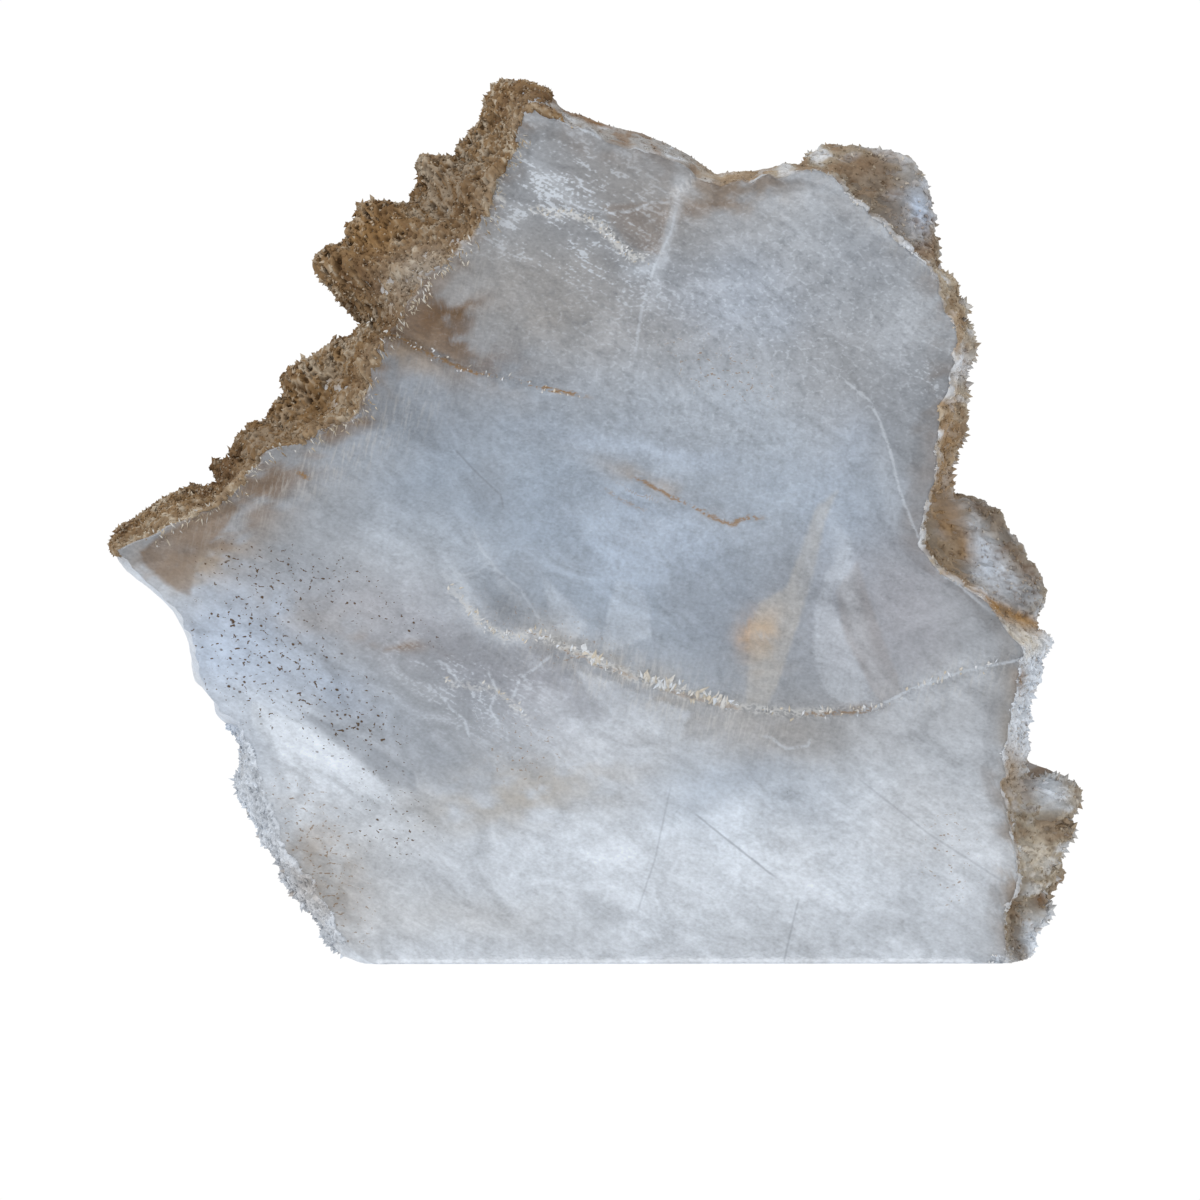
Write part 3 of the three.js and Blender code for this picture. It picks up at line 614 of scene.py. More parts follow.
STAINS = [
    (FAWN, 0.90, (190, 556), 19, 9, 25), (DUN, 0.60, (160, 566), 9, 5, 35),
    (DUN, 0.80, (258, 482), 16, 7, 30), (DUN, 1.00, (212, 528), 12, 6, 25),
    (DUN, 0.80, (334, 424), 14, 6, 35), (mix(AMBER, UMBER, 0.9), 1.60, (422, 324), 14, 6, -20),
    (mix(AMBER, UMBER, 0.8), 1.40, (444, 308), 11, 4, 8), (DUN, 0.55, (450, 345), 24, 9, -20),
    (RUST, 0.70, (392, 322), 9, 7, 0), (HONEY, 1.00, (765, 629), 5, 5.5, 20),
    (FAWN, 0.50, (770, 645), 6, 10, -20), (DUN, 0.55, (722, 212), 10, 2.2, -4),
    (FAWN, 0.60, (735, 190), 16, 7, 0), (DUN, 0.50, (700, 212), 8, 2, 0),
    (DUN, 0.80, (398, 646), 11, 1.4, -14), (RUST, 0.60, (862, 708), 6, 1.2, 0),
    (RUST, 0.60, (1026, 685), 3, 6, 0), (SAND, 0.70, (1018, 800), 5, 30, 0),
    (FAWN, 0.60, (1016, 900), 4, 18, 0), (FAWN, 0.60, (390, 345), 14, 6, -20),
    (FAWN, 0.45, (320, 860), 9, 18, 25), (SAND, 0.50, (520, 790), 30, 8, 10),
    (FAWN, 0.50, (650, 490), 16, 3, -25), (SAND, 0.45, (620, 665), 30, 5, -22),
    (FAWN, 0.45, (650, 695), 8, 3, -20), (FAWN, 0.25, (300, 610), 14, 6, -20),
]
# The etched lower left and scooped left edges are painted milk white: frosted crystal, and painted light
# that comes through the thin edge.
EDGE_PAINTS = {
    "etched lower left": mix(MILK, MIST, 0.5), "scooped left": mix(MILK, SKY, 0.6), "left tip": TAN,
    "lower rind": TAN, "rind lobes": TAN, "top edge": mix(MIST, SAND, 0.4), "top saddle": SAND,
    "upper right ledge": SAND, "upper right teeth": mix(SAND, CREAM, 0.4), "middle right lens": SAND,
    "right spur": mix(MIST, MILK, 0.85), "lower right ledge": SAND, "sawn base": MILK,
}
EDGE_SPOTS = [
    (BARK, 0.90, (878, 175), 9, 8, 0), (BARK, 0.80, (892, 212), 7, 9, 0),
    (SKY, 0.80, (920, 208), 4.5, 8, 0), (RUST, 0.50, (862, 160), 8, 3, 0),
    (RUST, 0.50, (932, 245), 3, 6, 0), (mix(SKY, MILK, 0.6), 1.00, (995, 568), 14, 6, -57),
    (MIST, 0.90, (1030, 598), 5, 7, -60), (BARK, 0.90, (992, 514), 9, 3, -42),
    (AMBER, 0.80, (966, 552), 2.6, 7, 0), (BARK, 0.90, (1022, 556), 9, 2.6, -60),
    (AMBER, 0.95, (1000, 608), 12, 1.8, -28), (AMBER, 0.95, (1028, 624), 6, 1.8, -18),
    (CREAM, 0.90, (1020, 640), 7, 3.5, -20), (AMBER, 0.80, (952, 520), 4, 7, 0),
    (TAN, 0.70, (955, 555), 5, 8, 0), (RUST, 0.95, (1024, 683), 1.8, 3.6, 0),
    (MILK, 0.60, (1022, 728), 5, 8, 0), (TAN, 0.80, (1012, 780), 5, 9, 0),
    (MILK, 0.90, (1052, 795), 7, 4, -20), (CREAM, 0.70, (1042, 860), 5, 9, 0),
    (RUST, 1.00, (1046, 908), 2.2, 2.2, 0), (MILK, 0.90, (1040, 948), 4, 6, 0),
    (AMBER, 0.50, (955, 330), 4, 10, 0), (BARK, 0.80, (1020, 946), 2.4, 6, 0),
    (MILK, 0.80, (958, 366), 5, 5, 0), (AMBER, 0.65, (950, 440), 4, 14, 0),
    (AMBER, 0.50, (940, 500), 3, 8, 0), (TAN, 0.55, (735, 172), 10, 4, 0),
    (RUST, 0.90, (592, 119), 7, 1.4, -22), (TAN, 0.50, (320, 880), 9, 12, 30),
]
RIM_STAIN = {"lower rind": 0.9, "rind lobes": 0.7, "top edge": 0.25, "top saddle": 0.5,
             "upper right ledge": 0.1, "upper right teeth": 0.35, "middle right lens": 0.2,
             "right spur": 0.1, "lower right ledge": 0.3}
print("clouds, stains and edge spots:", len(CLOUDS), len(STAINS), len(EDGE_SPOTS))

# %% Colour of every point


def lay(colours, coat, share):
    """Coat over colours, as thick as share says."""
    return mix(colours, coat, np.clip(share, 0, 1)[..., None])


def lay_spots(colours, x, z, spots, share):
    """Soft patches of paint laid one after another, each as thick as its own share times share."""
    for coat, strength, place, radius_x, radius_z, lean in spots:
        colours = lay(colours, coat, strength * share * spot(x, z, place, radius_x, radius_z, lean))
    return colours


def face_colours(points):
    """Colours of the cleavage face: a whiter foot of painted light, broken clouds, stains and a brown rim.
    """
    x, z = points[:, 0], points[:, 2]
    drift = np.stack([rough_noise(points, 22, 4, seed) - 0.5 for seed in (51, 52)], -1)
    wx, wz = x + 16 * drift[:, 0], z + 16 * drift[:, 1]
    broken = 0.55 + 0.9 * rough_noise(points * [1, 1, 1.5], 14, 4, 53)
    colours = np.tile(MIST, (len(points), 1))
    # Painted light: the face grows whiter towards the foot, as light from below comes up through the
    # crystal.
    colours = lay(colours, MILK, smoothstep(82, 26, wz) * 0.68 * broken)
    colours = lay_spots(colours, wx, wz, CLOUDS, broken)
    blotches = 0.2 + 1.1 * smoothstep(0.36, 0.6, rough_noise(points * [0.7, 1, 1.2], 5, 5, 55))
    colours = lay_spots(colours, mix(x, wx, 0.6), mix(z, wz, 0.6), STAINS, blotches)
    return lay(colours, DUN, rim_share(points) * blotches)


def rim_share(points):
    """How brown the face is by its rim: each stretch's share, gone a tenth of the way to the centre."""
    ring, place = (each.ravel() for each in square_rings())
    ragged = 0.1 * (rough_noise(points, 6, 4, 57) - 0.5)
    return round_values(by_stretch(RIM_STAIN), place) * smoothstep(0.9, 1.0, ring + ragged)


def back_colours(points):
    """Colours of the back: milk and mist in streaks, with honey-brown stains in broad patches."""
    streak = rough_noise(points * [1, 1, 0.35], 16, 5, 61)
    colours = mix(MIST, MILK, smoothstep(0.35, 0.65, streak)[:, None])
    colours = lay(colours, ICE, 0.6 * smoothstep(0.5, 0.7, rough_noise(points, 40, 3, 63)))
    stained = smoothstep(0.55, 0.75, rough_noise(points, 34, 5, 65))
    return lay(colours, TAN, 0.6 * stained)


edge_paints = eased(np.concatenate([np.tile(EDGE_PAINTS[s["name"]], (n, 1))
                                    for s, n in zip(EDGE, column_counts)]), EASE_COLUMNS)


def edge_colours(points, u):
    """Colours on the edge: each stretch's own paint, milky and rusty patches, then its spots."""
    colours = np.repeat(round_values(edge_paints, u), len(points) // len(u), axis=0)
    stained = 1.0 * (colours[:, 2] < MIST[2])
    patches = rough_noise(points * [1, 0.6, 1.3], 5, 5, 71)
    colours = lay(colours, MILK, 0.6 * smoothstep(0.52, 0.66, patches))
    colours = lay(colours, RUST, 0.6 * stained * smoothstep(0.48, 0.34, patches))
    wander = 7 * (rough_noise(points, 6, 4, 73) - 0.5)
    return lay_spots(colours, points[:, 0] + wander, points[:, 2] - wander, EDGE_SPOTS, 0.45 + 1.1 * patches)


front = slice(0, (CELLS + 1) ** 2)
back = slice(band.stop, None)
columns_u = np.arange(COLUMNS) / COLUMNS
slab_tint = np.concatenate([face_colours(slab_points[front]), edge_colours(slab_points[band], columns_u),
                            back_colours(slab_points[back])])
print("mean tint of the face:", np.round(slab_tint[front].mean(0), 3))

# %% [markdown]
# ## Cracks, sheets and specks as attributes
# Cracks and the edges of cleavage sheets must stay sharp, while mesh points are over a millimetre
# apart. So each is stored as a distance, which runs smoothly from point to point, and the material
# draws the edge where the distance is near zero. Lines of one kind share a channel, which keeps the
# material small. Other channels say where specks and rust lie, where fibres stand upright, where the
# face is scaly (its dimples get painted shade and painted highlights) or frayed, and where painted glints
# lie.

# %% Crack lines and sheets
ARC_LEFT, ARC_RIGHT = ARC_CRACK[:12], ARC_CRACK[10:]
RIGHT_CRACK = photo((820, 367), (840, 377), (855, 389), (868, 399), (878, 417), (891, 453), (899, 489),
                    (917, 535), (929, 555), (942, 575), (957, 583), (978, 601), (1000, 618))
BROWN_VEIN = photo((624, 473), (654, 487), (673, 498), (694, 506), (709, 515), (722, 522), (734, 524),
                   (743, 518), (771, 518))
HONEY_VEIN = photo((602, 487), (618, 498), (636, 507), (650, 510))
ARC_STAIN_A = photo((560, 647), (578, 655), (605, 668), (640, 679))
ARC_STAIN_B = photo((660, 688), (690, 697), (725, 706), (745, 709))
ARC_STAIN_C = photo((800, 714), (832, 714), (862, 712), (878, 708))
SCRATCH_A = photo((690, 810), (712, 828), (770, 874), (782, 882))
SCRATCH_B = photo((850, 770), (860, 780), (930, 835), (1000, 880), (1020, 890))
SCRATCH_C = photo((800, 898), (796, 912), (785, 960), (784, 970))
SCRATCH_D = photo((672, 780), (668, 800), (655, 860), (640, 905), (636, 920))
WING_LINE = photo((452, 446), (477, 473), (501, 495), (504, 512))
ZIGZAG = photo((440, 682), (458, 685), (480, 686), (498, 691), (510, 703), (522, 712), (534, 724))
WEB_A = photo((486, 668), (498, 691), (489, 709), (501, 728))
WEB_B = photo((510, 703), (520, 679), (538, 666), (553, 654))
WEB_C = photo((462, 690), (455, 676), (445, 664), (436, 660))
WEB_D = photo((440, 694), (450, 708), (466, 722), (470, 742))
WISP_A = photo((470, 522), (481, 549), (500, 573), (520, 588), (532, 608), (546, 628))
WISP_B = photo((445, 566), (462, 575), (478, 572), (490, 560))
TOP_LINE = photo((532, 108), (541, 113), (575, 127), (596, 136), (606, 140))
FLOOR_LINE = photo((526, 209), (548, 212), (572, 214), (602, 226), (618, 244), (633, 258), (655, 257))
SIDE_SPARKLE = photo((486, 168), (492, 178), (498, 190), (505, 208))
FACET_LINE = photo((545, 190), (560, 199), (581, 208), (609, 214), (633, 211), (651, 203), (680, 202))
RIBBON_LINE = photo((678, 200), (674, 220), (670, 235), (658, 258), (648, 285), (640, 320), (634, 364))
FACE_PIT = photo((296, 471), (303, 475), (310, 478))
FOOT_LOOP = photo((762, 736), (770, 737), (786, 749), (807, 747), (812, 736))
LINE_KINDS = {
    "white": [(RIGHT_CRACK, 0.6), (WEB_A, 0.6), (WEB_B, 0.6), (WEB_C, 0.6), (WEB_D, 0.5), (TOP_LINE, 1.0),
              (WISP_A, 0.3), (WISP_B, 0.25), (FACET_LINE, 0.5), (RIBBON_LINE, 0.45), (FOOT_LOOP, 0.5),
              (ARC_RIGHT, 0.9)],
    "crumbly": [(ARC_LEFT, 0.9), (FLOOR_LINE, 1.0), (ZIGZAG, 0.5), (SIDE_SPARKLE, 0.8)],
    "rusty": [(NOTCH_CRACK, 1.0), (BROWN_VEIN, 0.9), (HONEY_VEIN, 0.5), (ARC_STAIN_A, 0.5),
              (ARC_STAIN_B, 0.5), (ARC_STAIN_C, 0.8), (FACE_PIT, 1.0)],
    "scratch": [(SCRATCH_A, 0.5), (SCRATCH_B, 0.3), (SCRATCH_C, 0.35), (SCRATCH_D, 0.3), (WING_LINE, 0.5)],
}
SHEET_KINDS = {
    "milk": [(0.25, photo((838, 560), (832, 600), (848, 640), (862, 665), (872, 700), (850, 708), (822, 690),
                          (812, 650), (815, 610), (826, 570))),
             (0.65, photo((250, 700), (300, 722), (345, 752), (385, 785), (397, 803), (350, 800), (310, 780),
                          (276, 752), (252, 728))),
             (0.20, photo((541, 572), (556, 588), (575, 605), (588, 628), (574, 642), (560, 636),
                          (548, 610))),
             (0.20, photo((615, 580), (632, 582), (650, 600), (651, 637), (628, 646), (603, 652),
                          (604, 625))),
             (0.25, photo((678, 190), (684, 206), (672, 240), (665, 276), (655, 311), (645, 313), (652, 266),
                          (664, 226))),
             (0.30, photo((575, 668), (640, 692), (690, 712), (680, 745), (620, 722), (585, 690)))],
    "shade": [(0.40, photo((300, 712), (330, 721), (372, 745), (414, 772), (418, 794), (395, 786),
                           (350, 753), (318, 730))),
              (0.30, photo((490, 560), (528, 590), (540, 628), (515, 628), (480, 600)))],
    "cream": [(0.42, photo((838, 490), (826, 520), (812, 580), (796, 632), (776, 690), (768, 706),
                           (746, 704), (748, 660), (750, 625), (760, 602), (785, 588), (802, 546),
                           (814, 508)))],
    "warm": [(0.45, photo((600, 206), (672, 199), (660, 256), (632, 249), (612, 226))),
             (0.25, photo((835, 590), (845, 640), (880, 705), (905, 695), (888, 650), (870, 600),
                          (858, 560))),
             (0.85, photo((140, 552), (160, 534), (184, 524), (229, 500), (240, 508), (224, 530), (200, 552),
                          (190, 597), (172, 588), (142, 564)))],
}
SHEET_REACH = 3.0
print("kinds of line and sheet:", len(LINE_KINDS), len(SHEET_KINDS))

# %% Distances and marks


def signed_line(line, x, z):
    """Distance to a line, positive on its left, and a strength that fades at both of its ends."""
    best, side, place = np.full(x.shape, 1e9), np.zeros(x.shape), np.zeros(x.shape)
    run = np.concatenate([[0], np.cumsum(np.linalg.norm(np.diff(line, axis=0), axis=1))])
    for (ax, az), (bx, bz), start, end in zip(line[:-1], line[1:], run[:-1], run[1:]):
        along = np.clip(((x - ax) * (bx - ax) + (z - az) * (bz - az)) / (end - start) ** 2, 0, 1)
        gap = np.hypot(x - mix(ax, bx, along), z - mix(az, bz, along))
        nearer = gap < best
        turn = (bx - ax) * (z - az) - (bz - az) * (x - ax)
        best, side = np.where(nearer, gap, best), np.where(nearer, np.sign(turn), side)
        place = np.where(nearer, mix(start, end, along), place)
    ends = smoothstep(0, 0.12, place / run[-1]) * smoothstep(1, 0.88, place / run[-1])
    return best * side, ends * smoothstep(6, 4, best)


def outline_distance(outline, x, z):
    """Distance to a closed outline, below zero inside it, where a ray to the right meets it an odd
    number of times."""
    closed = np.vstack([outline, outline[:1]])
    inside = np.zeros(x.shape, bool)
    for (ax, az), (bx, bz) in zip(closed[:-1], closed[1:]):
        meets = (az > z) != (bz > z)
        inside ^= meets & (x < ax + (bx - ax) * (z - az) / (bz - az + 1e-9))
    gap = line_distance(closed, x, z)
    return np.where(inside, -gap, gap)


def on_front(values):
    """Values for every point of the slab, which are zero off the cleavage face."""
    whole = np.zeros((len(slab_points),) + values.shape[1:])
    whole[front] = values
    return whole


def nearest_of(gaps, strengths):
    """At each point, the gap to the nearest of several lines or outlines, with its strength."""
    gaps, strengths = np.stack(gaps), np.stack(strengths)
    pick = np.argmin(abs(gaps), axis=0)[None]
    return np.take_along_axis(gaps, pick, 0)[0], np.take_along_axis(strengths, pick, 0)[0]


def line_layers():
    """Signed distance and strength of each kind of line, as two arrays with a channel a kind."""
    kinds = []
    for lines in LINE_KINDS.values():
        gaps, ends = zip(*(signed_line(line, face_x, face_z) for line, _ in lines))
        kinds.append(nearest_of(gaps, [weight * end for (_, weight), end in zip(lines, ends)]))
    return [on_front(np.stack(part, -1)) for part in zip(*kinds)]


def sheet_layers():
    """How deep each point lies in each kind of sheet, from SHEET_REACH outside it, and the strength."""
    kinds = []
    cloudy = 0.2 + 1.5 * rough_noise(slab_points[front] * [1, 1, 0.5], 9, 4, 83)
    for sheets in SHEET_KINDS.values():
        gaps = [outline_distance(outline, face_x, face_z) for _, outline in sheets]
        gap, strength = nearest_of(gaps, [weight * cloudy for weight, _ in sheets])
        kinds.append((np.maximum(SHEET_REACH - gap, 0), strength))
    return [on_front(np.stack(part, -1)) for part in zip(*kinds)]


def patch(*spots):
    """The sum of soft spots on the face, each (share, place, radius_x, radius_z, lean), at most 1."""
    return np.clip(sum(share * spot(face_x, face_z, *place) for share, *place in spots), 0, 1)


face_x, face_z = slab_points[front, 0], slab_points[front, 2]
upright = patch((1, (640, 520), 60, 60, 0), (1, (800, 560), 30, 50, 0))
speckled = patch((1, (255, 645), 17, 20, 20), (0.8, (350, 715), 19, 12, -40), (0.5, (405, 625), 16, 6, -20),
                 (0.7, (300, 572), 26, 7, -10), (0.5, (390, 830), 18, 12, 0))
rusty = patch((1, (320, 860), 10, 24, 25), (0.35, (560, 640), 40, 12, -20), (0.4, (950, 860), 12, 20, 0),
              (0.45, (720, 370), 24, 12, -25), (0.4, (520, 750), 20, 14, -20))
# Where the face is scaly: its dimples get painted shade and painted highlights.
scaly = 0.35 * patch((1, (810, 300), 42, 30, 0), (0.5, (620, 330), 40, 20, 0), (0.3, (700, 480), 60, 40, 0))
frayed = 0.4 * patch((1, (640, 685), 44, 8, -22), (0.8, (960, 680), 26, 6, 15), (0.9, (335, 455), 38, 8, 32),
                     (0.4, (470, 270), 8, 22, 20), (0.9, (880, 222), 30, 3, -43))
# Painted highlights: where white glints are painted on the face.
painted_glint = patch((0.8, (560, 190), 26, 14, -20), (0.5, (590, 270), 30, 9, -20), (0.6, (935, 370), 8, 8, 0),
                (0.5, (480, 690), 24, 12, -20))
marks = on_front(np.stack([speckled, rusty, upright], -1))
zones = on_front(np.stack([scaly, frayed, painted_glint], -1))
line_gap, line_strength = line_layers()
sheet_depth, sheet_strength = sheet_layers()
print("distances and marks at", len(face_x), "points of the face")

# %% [markdown]
# ## Making a mesh
# Every piece is put into Blender the same way: arrays of points and faces, and any number of named
# attributes. Its object stays at the origin, and its place is in the mesh itself.

# %% Mesh from arrays
MM = 0.001


def make_piece(name, points, faces, attributes, smooth=True):
    """A mesh object from point and face arrays, with colour attributes at its points."""
    mesh = bpy.data.meshes.new(name)
    mesh.vertices.add(len(points))
    mesh.vertices.foreach_set("co", (points * MM).ravel())
    sides = faces.shape[1]
    mesh.loops.add(faces.size)
    mesh.loops.foreach_set("vertex_index", faces.ravel())
    mesh.polygons.add(len(faces))
    mesh.polygons.foreach_set("loop_start", np.arange(0, faces.size, sides))
    mesh.update(calc_edges=True)
    for title, values in attributes.items():
        channels = np.ones((len(points), 4))
        channels[:, :values.shape[1]] = values
        layer = mesh.attributes.new(title, "FLOAT_COLOR", "POINT")
        layer.data.foreach_set("color", channels.astype(np.float32).ravel())
    mesh.polygons.foreach_set("use_smooth", np.full(len(faces), smooth))
    mesh.validate()
    piece = bpy.data.objects.new(name, mesh)
    bpy.context.collection.objects.link(piece)
    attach(piece, "root")
    print(name, "has", len(faces) * (sides - 2), "triangles")
    return piece


slab_layers = {"tint": slab_tint, "marks": marks, "zones": zones, "line_gap": line_gap,
               "line_strength": line_strength, "sheet_depth": sheet_depth, "sheet_strength": sheet_strength}
slab = make_piece("selenite_slab", slab_points, slab_quads, slab_layers)
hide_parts("slab")

# %% [markdown]
# ## The rind
# Water etched the upper left edge into a brown sponge of thin walls and pits that run down the
# crystal's fibres. A displaced copy of the slab would be too coarse, so the rind is its own skin: a
# closed profile carried along the edge. Its outer side follows the edge surface and is moved by
# lumps and by stretched cellular noise, its inner side lies hidden in the crystal.

# %% Rind skin
PIT_STRETCH = np.array([0.45, 1.0, 1.0])
RIDGE_STRETCH = np.array([0.17, 1.0, 1.0])
FACE_ROWS_SHARE = 0.12
SILHOUETTE_DEPTH = 0.72
BORDER_SINK, INNER_DEPTH = 2.2, 5.0
INNER_SHIFT = [-4, 0, 4, 4]
RIND_LOWEST = 0.05


def unit(vectors):
    """Vectors of length one."""
    return vectors / np.maximum(np.linalg.norm(vectors, axis=-1, keepdims=True), 1e-9)


def fibre_frame(along):
    """Three square axes as columns, the first along the fibres."""
    side = np.cross(along, [0, 1, 0])
    return np.stack([unit(np.array(along)), unit(side), unit(np.cross(along, side))], -1)


def rind_base(u, rows, overlap):
    """The surface under a rind: rows on the face up to overlap mm from its rim, then the edge band."""
    face_rows = max(2, int(rows * FACE_ROWS_SHARE))
    front_share = np.linspace(0, 1, rows - face_rows)
    edge = edge_surface(u, np.interp(front_share, [0, 0.68, 1], [0, 0.5, 1]))
    rim = edge[:, 0]
    inward = unit(np.array([CENTRE[0], FACE_Y, CENTRE[1]]) - rim)
    reach = overlap * smoothstep(1.0, 0.95, np.linspace(0, 1, len(u)))
    inset = (reach[:, None] * np.linspace(1, 0, face_rows, endpoint=False))[..., None]
    return np.concatenate([rim[:, None] + inward[:, None] * inset, edge], axis=1)


def grid_normals(grid):
    """Outward unit normals of a grid of points, from its two directions."""
    return unit(np.cross(np.gradient(grid, axis=0), np.gradient(grid, axis=1)))


def sponge(places, pit_size, seed):
    """Pits drawn out along the fibres, in clusters: 1 in the middle of a pit, 0 on the walls."""
    along = places * PIT_STRETCH + 0.8 * (rough_noise(places, 2.5, 2, seed)[..., None] - 0.5)
    nearest = pore_noise(along, pit_size, seed)
    cluster = smoothstep(0.36, 0.54, rough_noise(places, 3.2 * pit_size, 2, seed + 2))
    return smoothstep(0.52, 0.16, nearest) * cluster


def close_ends(quads, index):
    """Close both ends of a tube of quads with a strip that folds the end loop in half."""
    count = index.shape[1]
    half = np.arange(count // 2 - 1)
    far = count - 1 - half
    caps = [np.stack([ring[half], ring[half + 1], ring[far - 1], ring[far]], -1)[:, ::turn]
            for ring, turn in ((index[0], 1), (index[-1], -1))]
    return np.concatenate([quads, *caps])


def rind_skin(u, rows, overlap, height, lump, ridge, pit, frame, seed):
    """A closed rind along the places u: its points and quads, and for each point how hollow it is
    and its depth, from 0 on the face to 1 at the back."""
    base = rind_base(u, rows, overlap)
    out = grid_normals(base)
    places = base @ frame
    big, small = sponge(places, 2.1, seed), sponge(places, 1.2, seed + 5)
    ridges = rough_noise(places * RIDGE_STRETCH, 1.4, 3, seed + 31) - 0.5
    lumps = rough_noise(base, 12, 4, seed + 9) - 0.5
    run, across = np.linspace(0, 1, len(u)), np.linspace(0, 1, rows)
    ends = smoothstep(0, 0.015, run) * smoothstep(1, 0.985, run)
    ragged = 0.06 + 0.2 * rough_noise(places * [0.3, 1, 1], 3.5, 3, seed + 13)
    cover = ends[:, None] * smoothstep(0, 1, across / ragged) * smoothstep(1.0, 0.95, across)[None]
    lift = height + 2 * lump * lumps + 2 * ridge * ridges - pit * (big + 0.5 * small)
    skin = base + out * mix(-BORDER_SINK, lift, cover)[..., None]
    hidden_rows = base[:, [-2, round(SILHOUETTE_DEPTH * rows), rows // 3, 2]]
    inner = hidden_rows + INNER_DEPTH * unit(np.array([CENTRE[0], 0, CENTRE[1]]) - hidden_rows)
    inner[..., 1] += INNER_SHIFT
    loop = np.concatenate([skin, inner], axis=1)
    loop[..., 2] = np.maximum(loop[..., 2], RIND_LOWEST)
    index = np.arange(loop.shape[0] * loop.shape[1]).reshape(loop.shape[:2])
    following = np.roll(index, -1, axis=1)
    quads = np.stack([index[:-1], index[1:], following[1:], following[:-1]], -1).reshape(-1, 4)
    hidden = np.ones((len(u), 4))
    hollow = np.hstack([np.clip(big + 0.7 * small - 0.8 * ridges - 0.5 * lumps, 0, 1), hidden])
    depth = np.hstack([np.broadcast_to(across, big.shape), hidden])
    return loop.reshape(-1, 3), close_ends(quads, index), hollow.ravel(), depth.ravel()


print("how deep in a pit three places are:", np.round(sponge(4 * np.eye(3), 2.1, 101), 2))

# %% [markdown]
# ## The brown rind
# Iron stains the rind: tan and cream walls and browner spots by the notch, with painted shade in its
# dark pits. An image could carry these colours, but the skin already knows how hollow each of its
# points is, so the same numbers paint it, and pits and paint always agree.

# %% Brown rind on the left
LEFT_FIBRE = fibre_frame((0.62, -0.15, -0.77))
RIND_SPOTS = [
    (0.6 * RUST, 0.60, (398, 318), 12, 9, 0), (0.6 * RUST, 0.55, (450, 190), 14, 14, 0),
    (0.6 * mix(RUST, AMBER, 0.6), 0.70, (300, 408), 20, 7, 35), (0.6 * RUST, 0.45, (245, 452), 12, 6, 35),
    (0.8 * mix(CREAM, MIST, 0.5), 0.50, (422, 276), 10, 7, 0), (0.8 * AMBER, 0.45, (368, 232), 9, 7, 0),
]


def rind_colours(points, hollow, depth, seed):
    """Tan and cream walls with painted umber shade in the pits, paler by the face, then browner and greyer
    spots.
    """
    patches = rough_noise(points, 15, 4, seed)
    fine = rough_noise((points @ LEFT_FIBRE) * RIDGE_STRETCH, 1.6, 3, seed + 5)
    walls = mix(TAN, AMBER, 0.55)
    colours = 0.66 * mix(RUST, walls, smoothstep(0.3, 0.55, mix(patches, fine, 0.5))[:, None])
    colours = lay(colours, 0.8 * CREAM, 0.7 * smoothstep(0.5, 0.64, mix(patches, fine, 0.6)))
    pale = smoothstep(0.42, 0.1, depth) * smoothstep(0.3, 0.6, rough_noise(points, 9, 3, seed + 7))
    colours = lay(colours, 0.8 * mix(CREAM, TAN, 0.2), 0.25 * pale)
    colours = lay_spots(colours, points[:, 0], points[:, 2], RIND_SPOTS, 1)
    # Painted shade: the pits darken towards umber, the hollower the darker.
    return lay(colours, 0.6 * UMBER, 0.95 * hollow ** 1.2)


left_u = np.linspace(stretch_start["left tip"] - 0.006, stretch_start["top edge"] + 0.014, 640)
left_points, left_quads, left_hollow, left_depth = rind_skin(
    left_u, rows=140, overlap=5.0, height=0.9, lump=2.5, ridge=1.1, pit=2.2, frame=LEFT_FIBRE, seed=101)
left_tint = rind_colours(left_points, left_hollow, left_depth, 111)
rind_left = make_piece("rind_left", left_points, left_quads, {"tint": left_tint})

# %% [markdown]
# ## Toothed crusts
# On the right, the lower left and the top the water etched less and left a thin frosted crust with
# teeth. It could be relief on the slab, but that mesh is too coarse for it. It is the same kind of
# skin as the rind with smaller numbers, so one function makes all three.

# %% Toothed crusts on the right, the lower left and the top
RIGHT_FIBRE = fibre_frame((0.94, 0.0, -0.34))
LOW_FIBRE = fibre_frame((-0.9, 0.0, -0.43))


def crust(name, start, end, columns, rows, frame, seed, size, pit_shade):
    """A thin toothed crust between two places round the edge: points, quads, tint and depth."""
    u = np.linspace(start, end, columns)
    points, quads, hollow, depth = rind_skin(u, rows, overlap=2.0, height=0.5 * size, lump=1.6 * size,
                                             ridge=1.8 * size, pit=0.9 * size, frame=frame, seed=seed)
    # Painted shade: the crust's pits are darkened with their own paint.
    tint = lay(edge_colours(points, u), pit_shade, 0.6 * hollow * smoothstep(0.02, 0.2, depth))
    frosted = smoothstep(0.22, 0.08, depth) * smoothstep(0.3, 0.5, rough_noise(points, 7, 3, seed + 3))
    tint = lay(tint, mix(MIST, MILK, 0.5), 0.8 * frosted)
    pieces.append(make_piece(name, points, quads, {"tint": tint}))
    return points, quads, tint, depth


pieces = [rind_left]
right_crust = crust(
    "crust_right", stretch_start["upper right ledge"] - 0.004, stretch_start["sawn base"] + 0.006,
    columns=600, rows=116, frame=RIGHT_FIBRE, seed=131, size=1.0, pit_shade=0.7 * RUST)
low_crust = crust(
    "crust_low", stretch_start["etched lower left"] + 0.004, stretch_start["scooped left"] + 0.004,
    columns=200, rows=100, frame=LOW_FIBRE, seed=151, size=0.9, pit_shade=0.8 * MIST)
top_crust = crust(
    "crust_top", stretch_start["top edge"] + 0.008, stretch_start["upper right ledge"] + 0.004,
    columns=260, rows=60, frame=RIGHT_FIBRE, seed=171, size=0.45, pit_shade=0.7 * RUST)

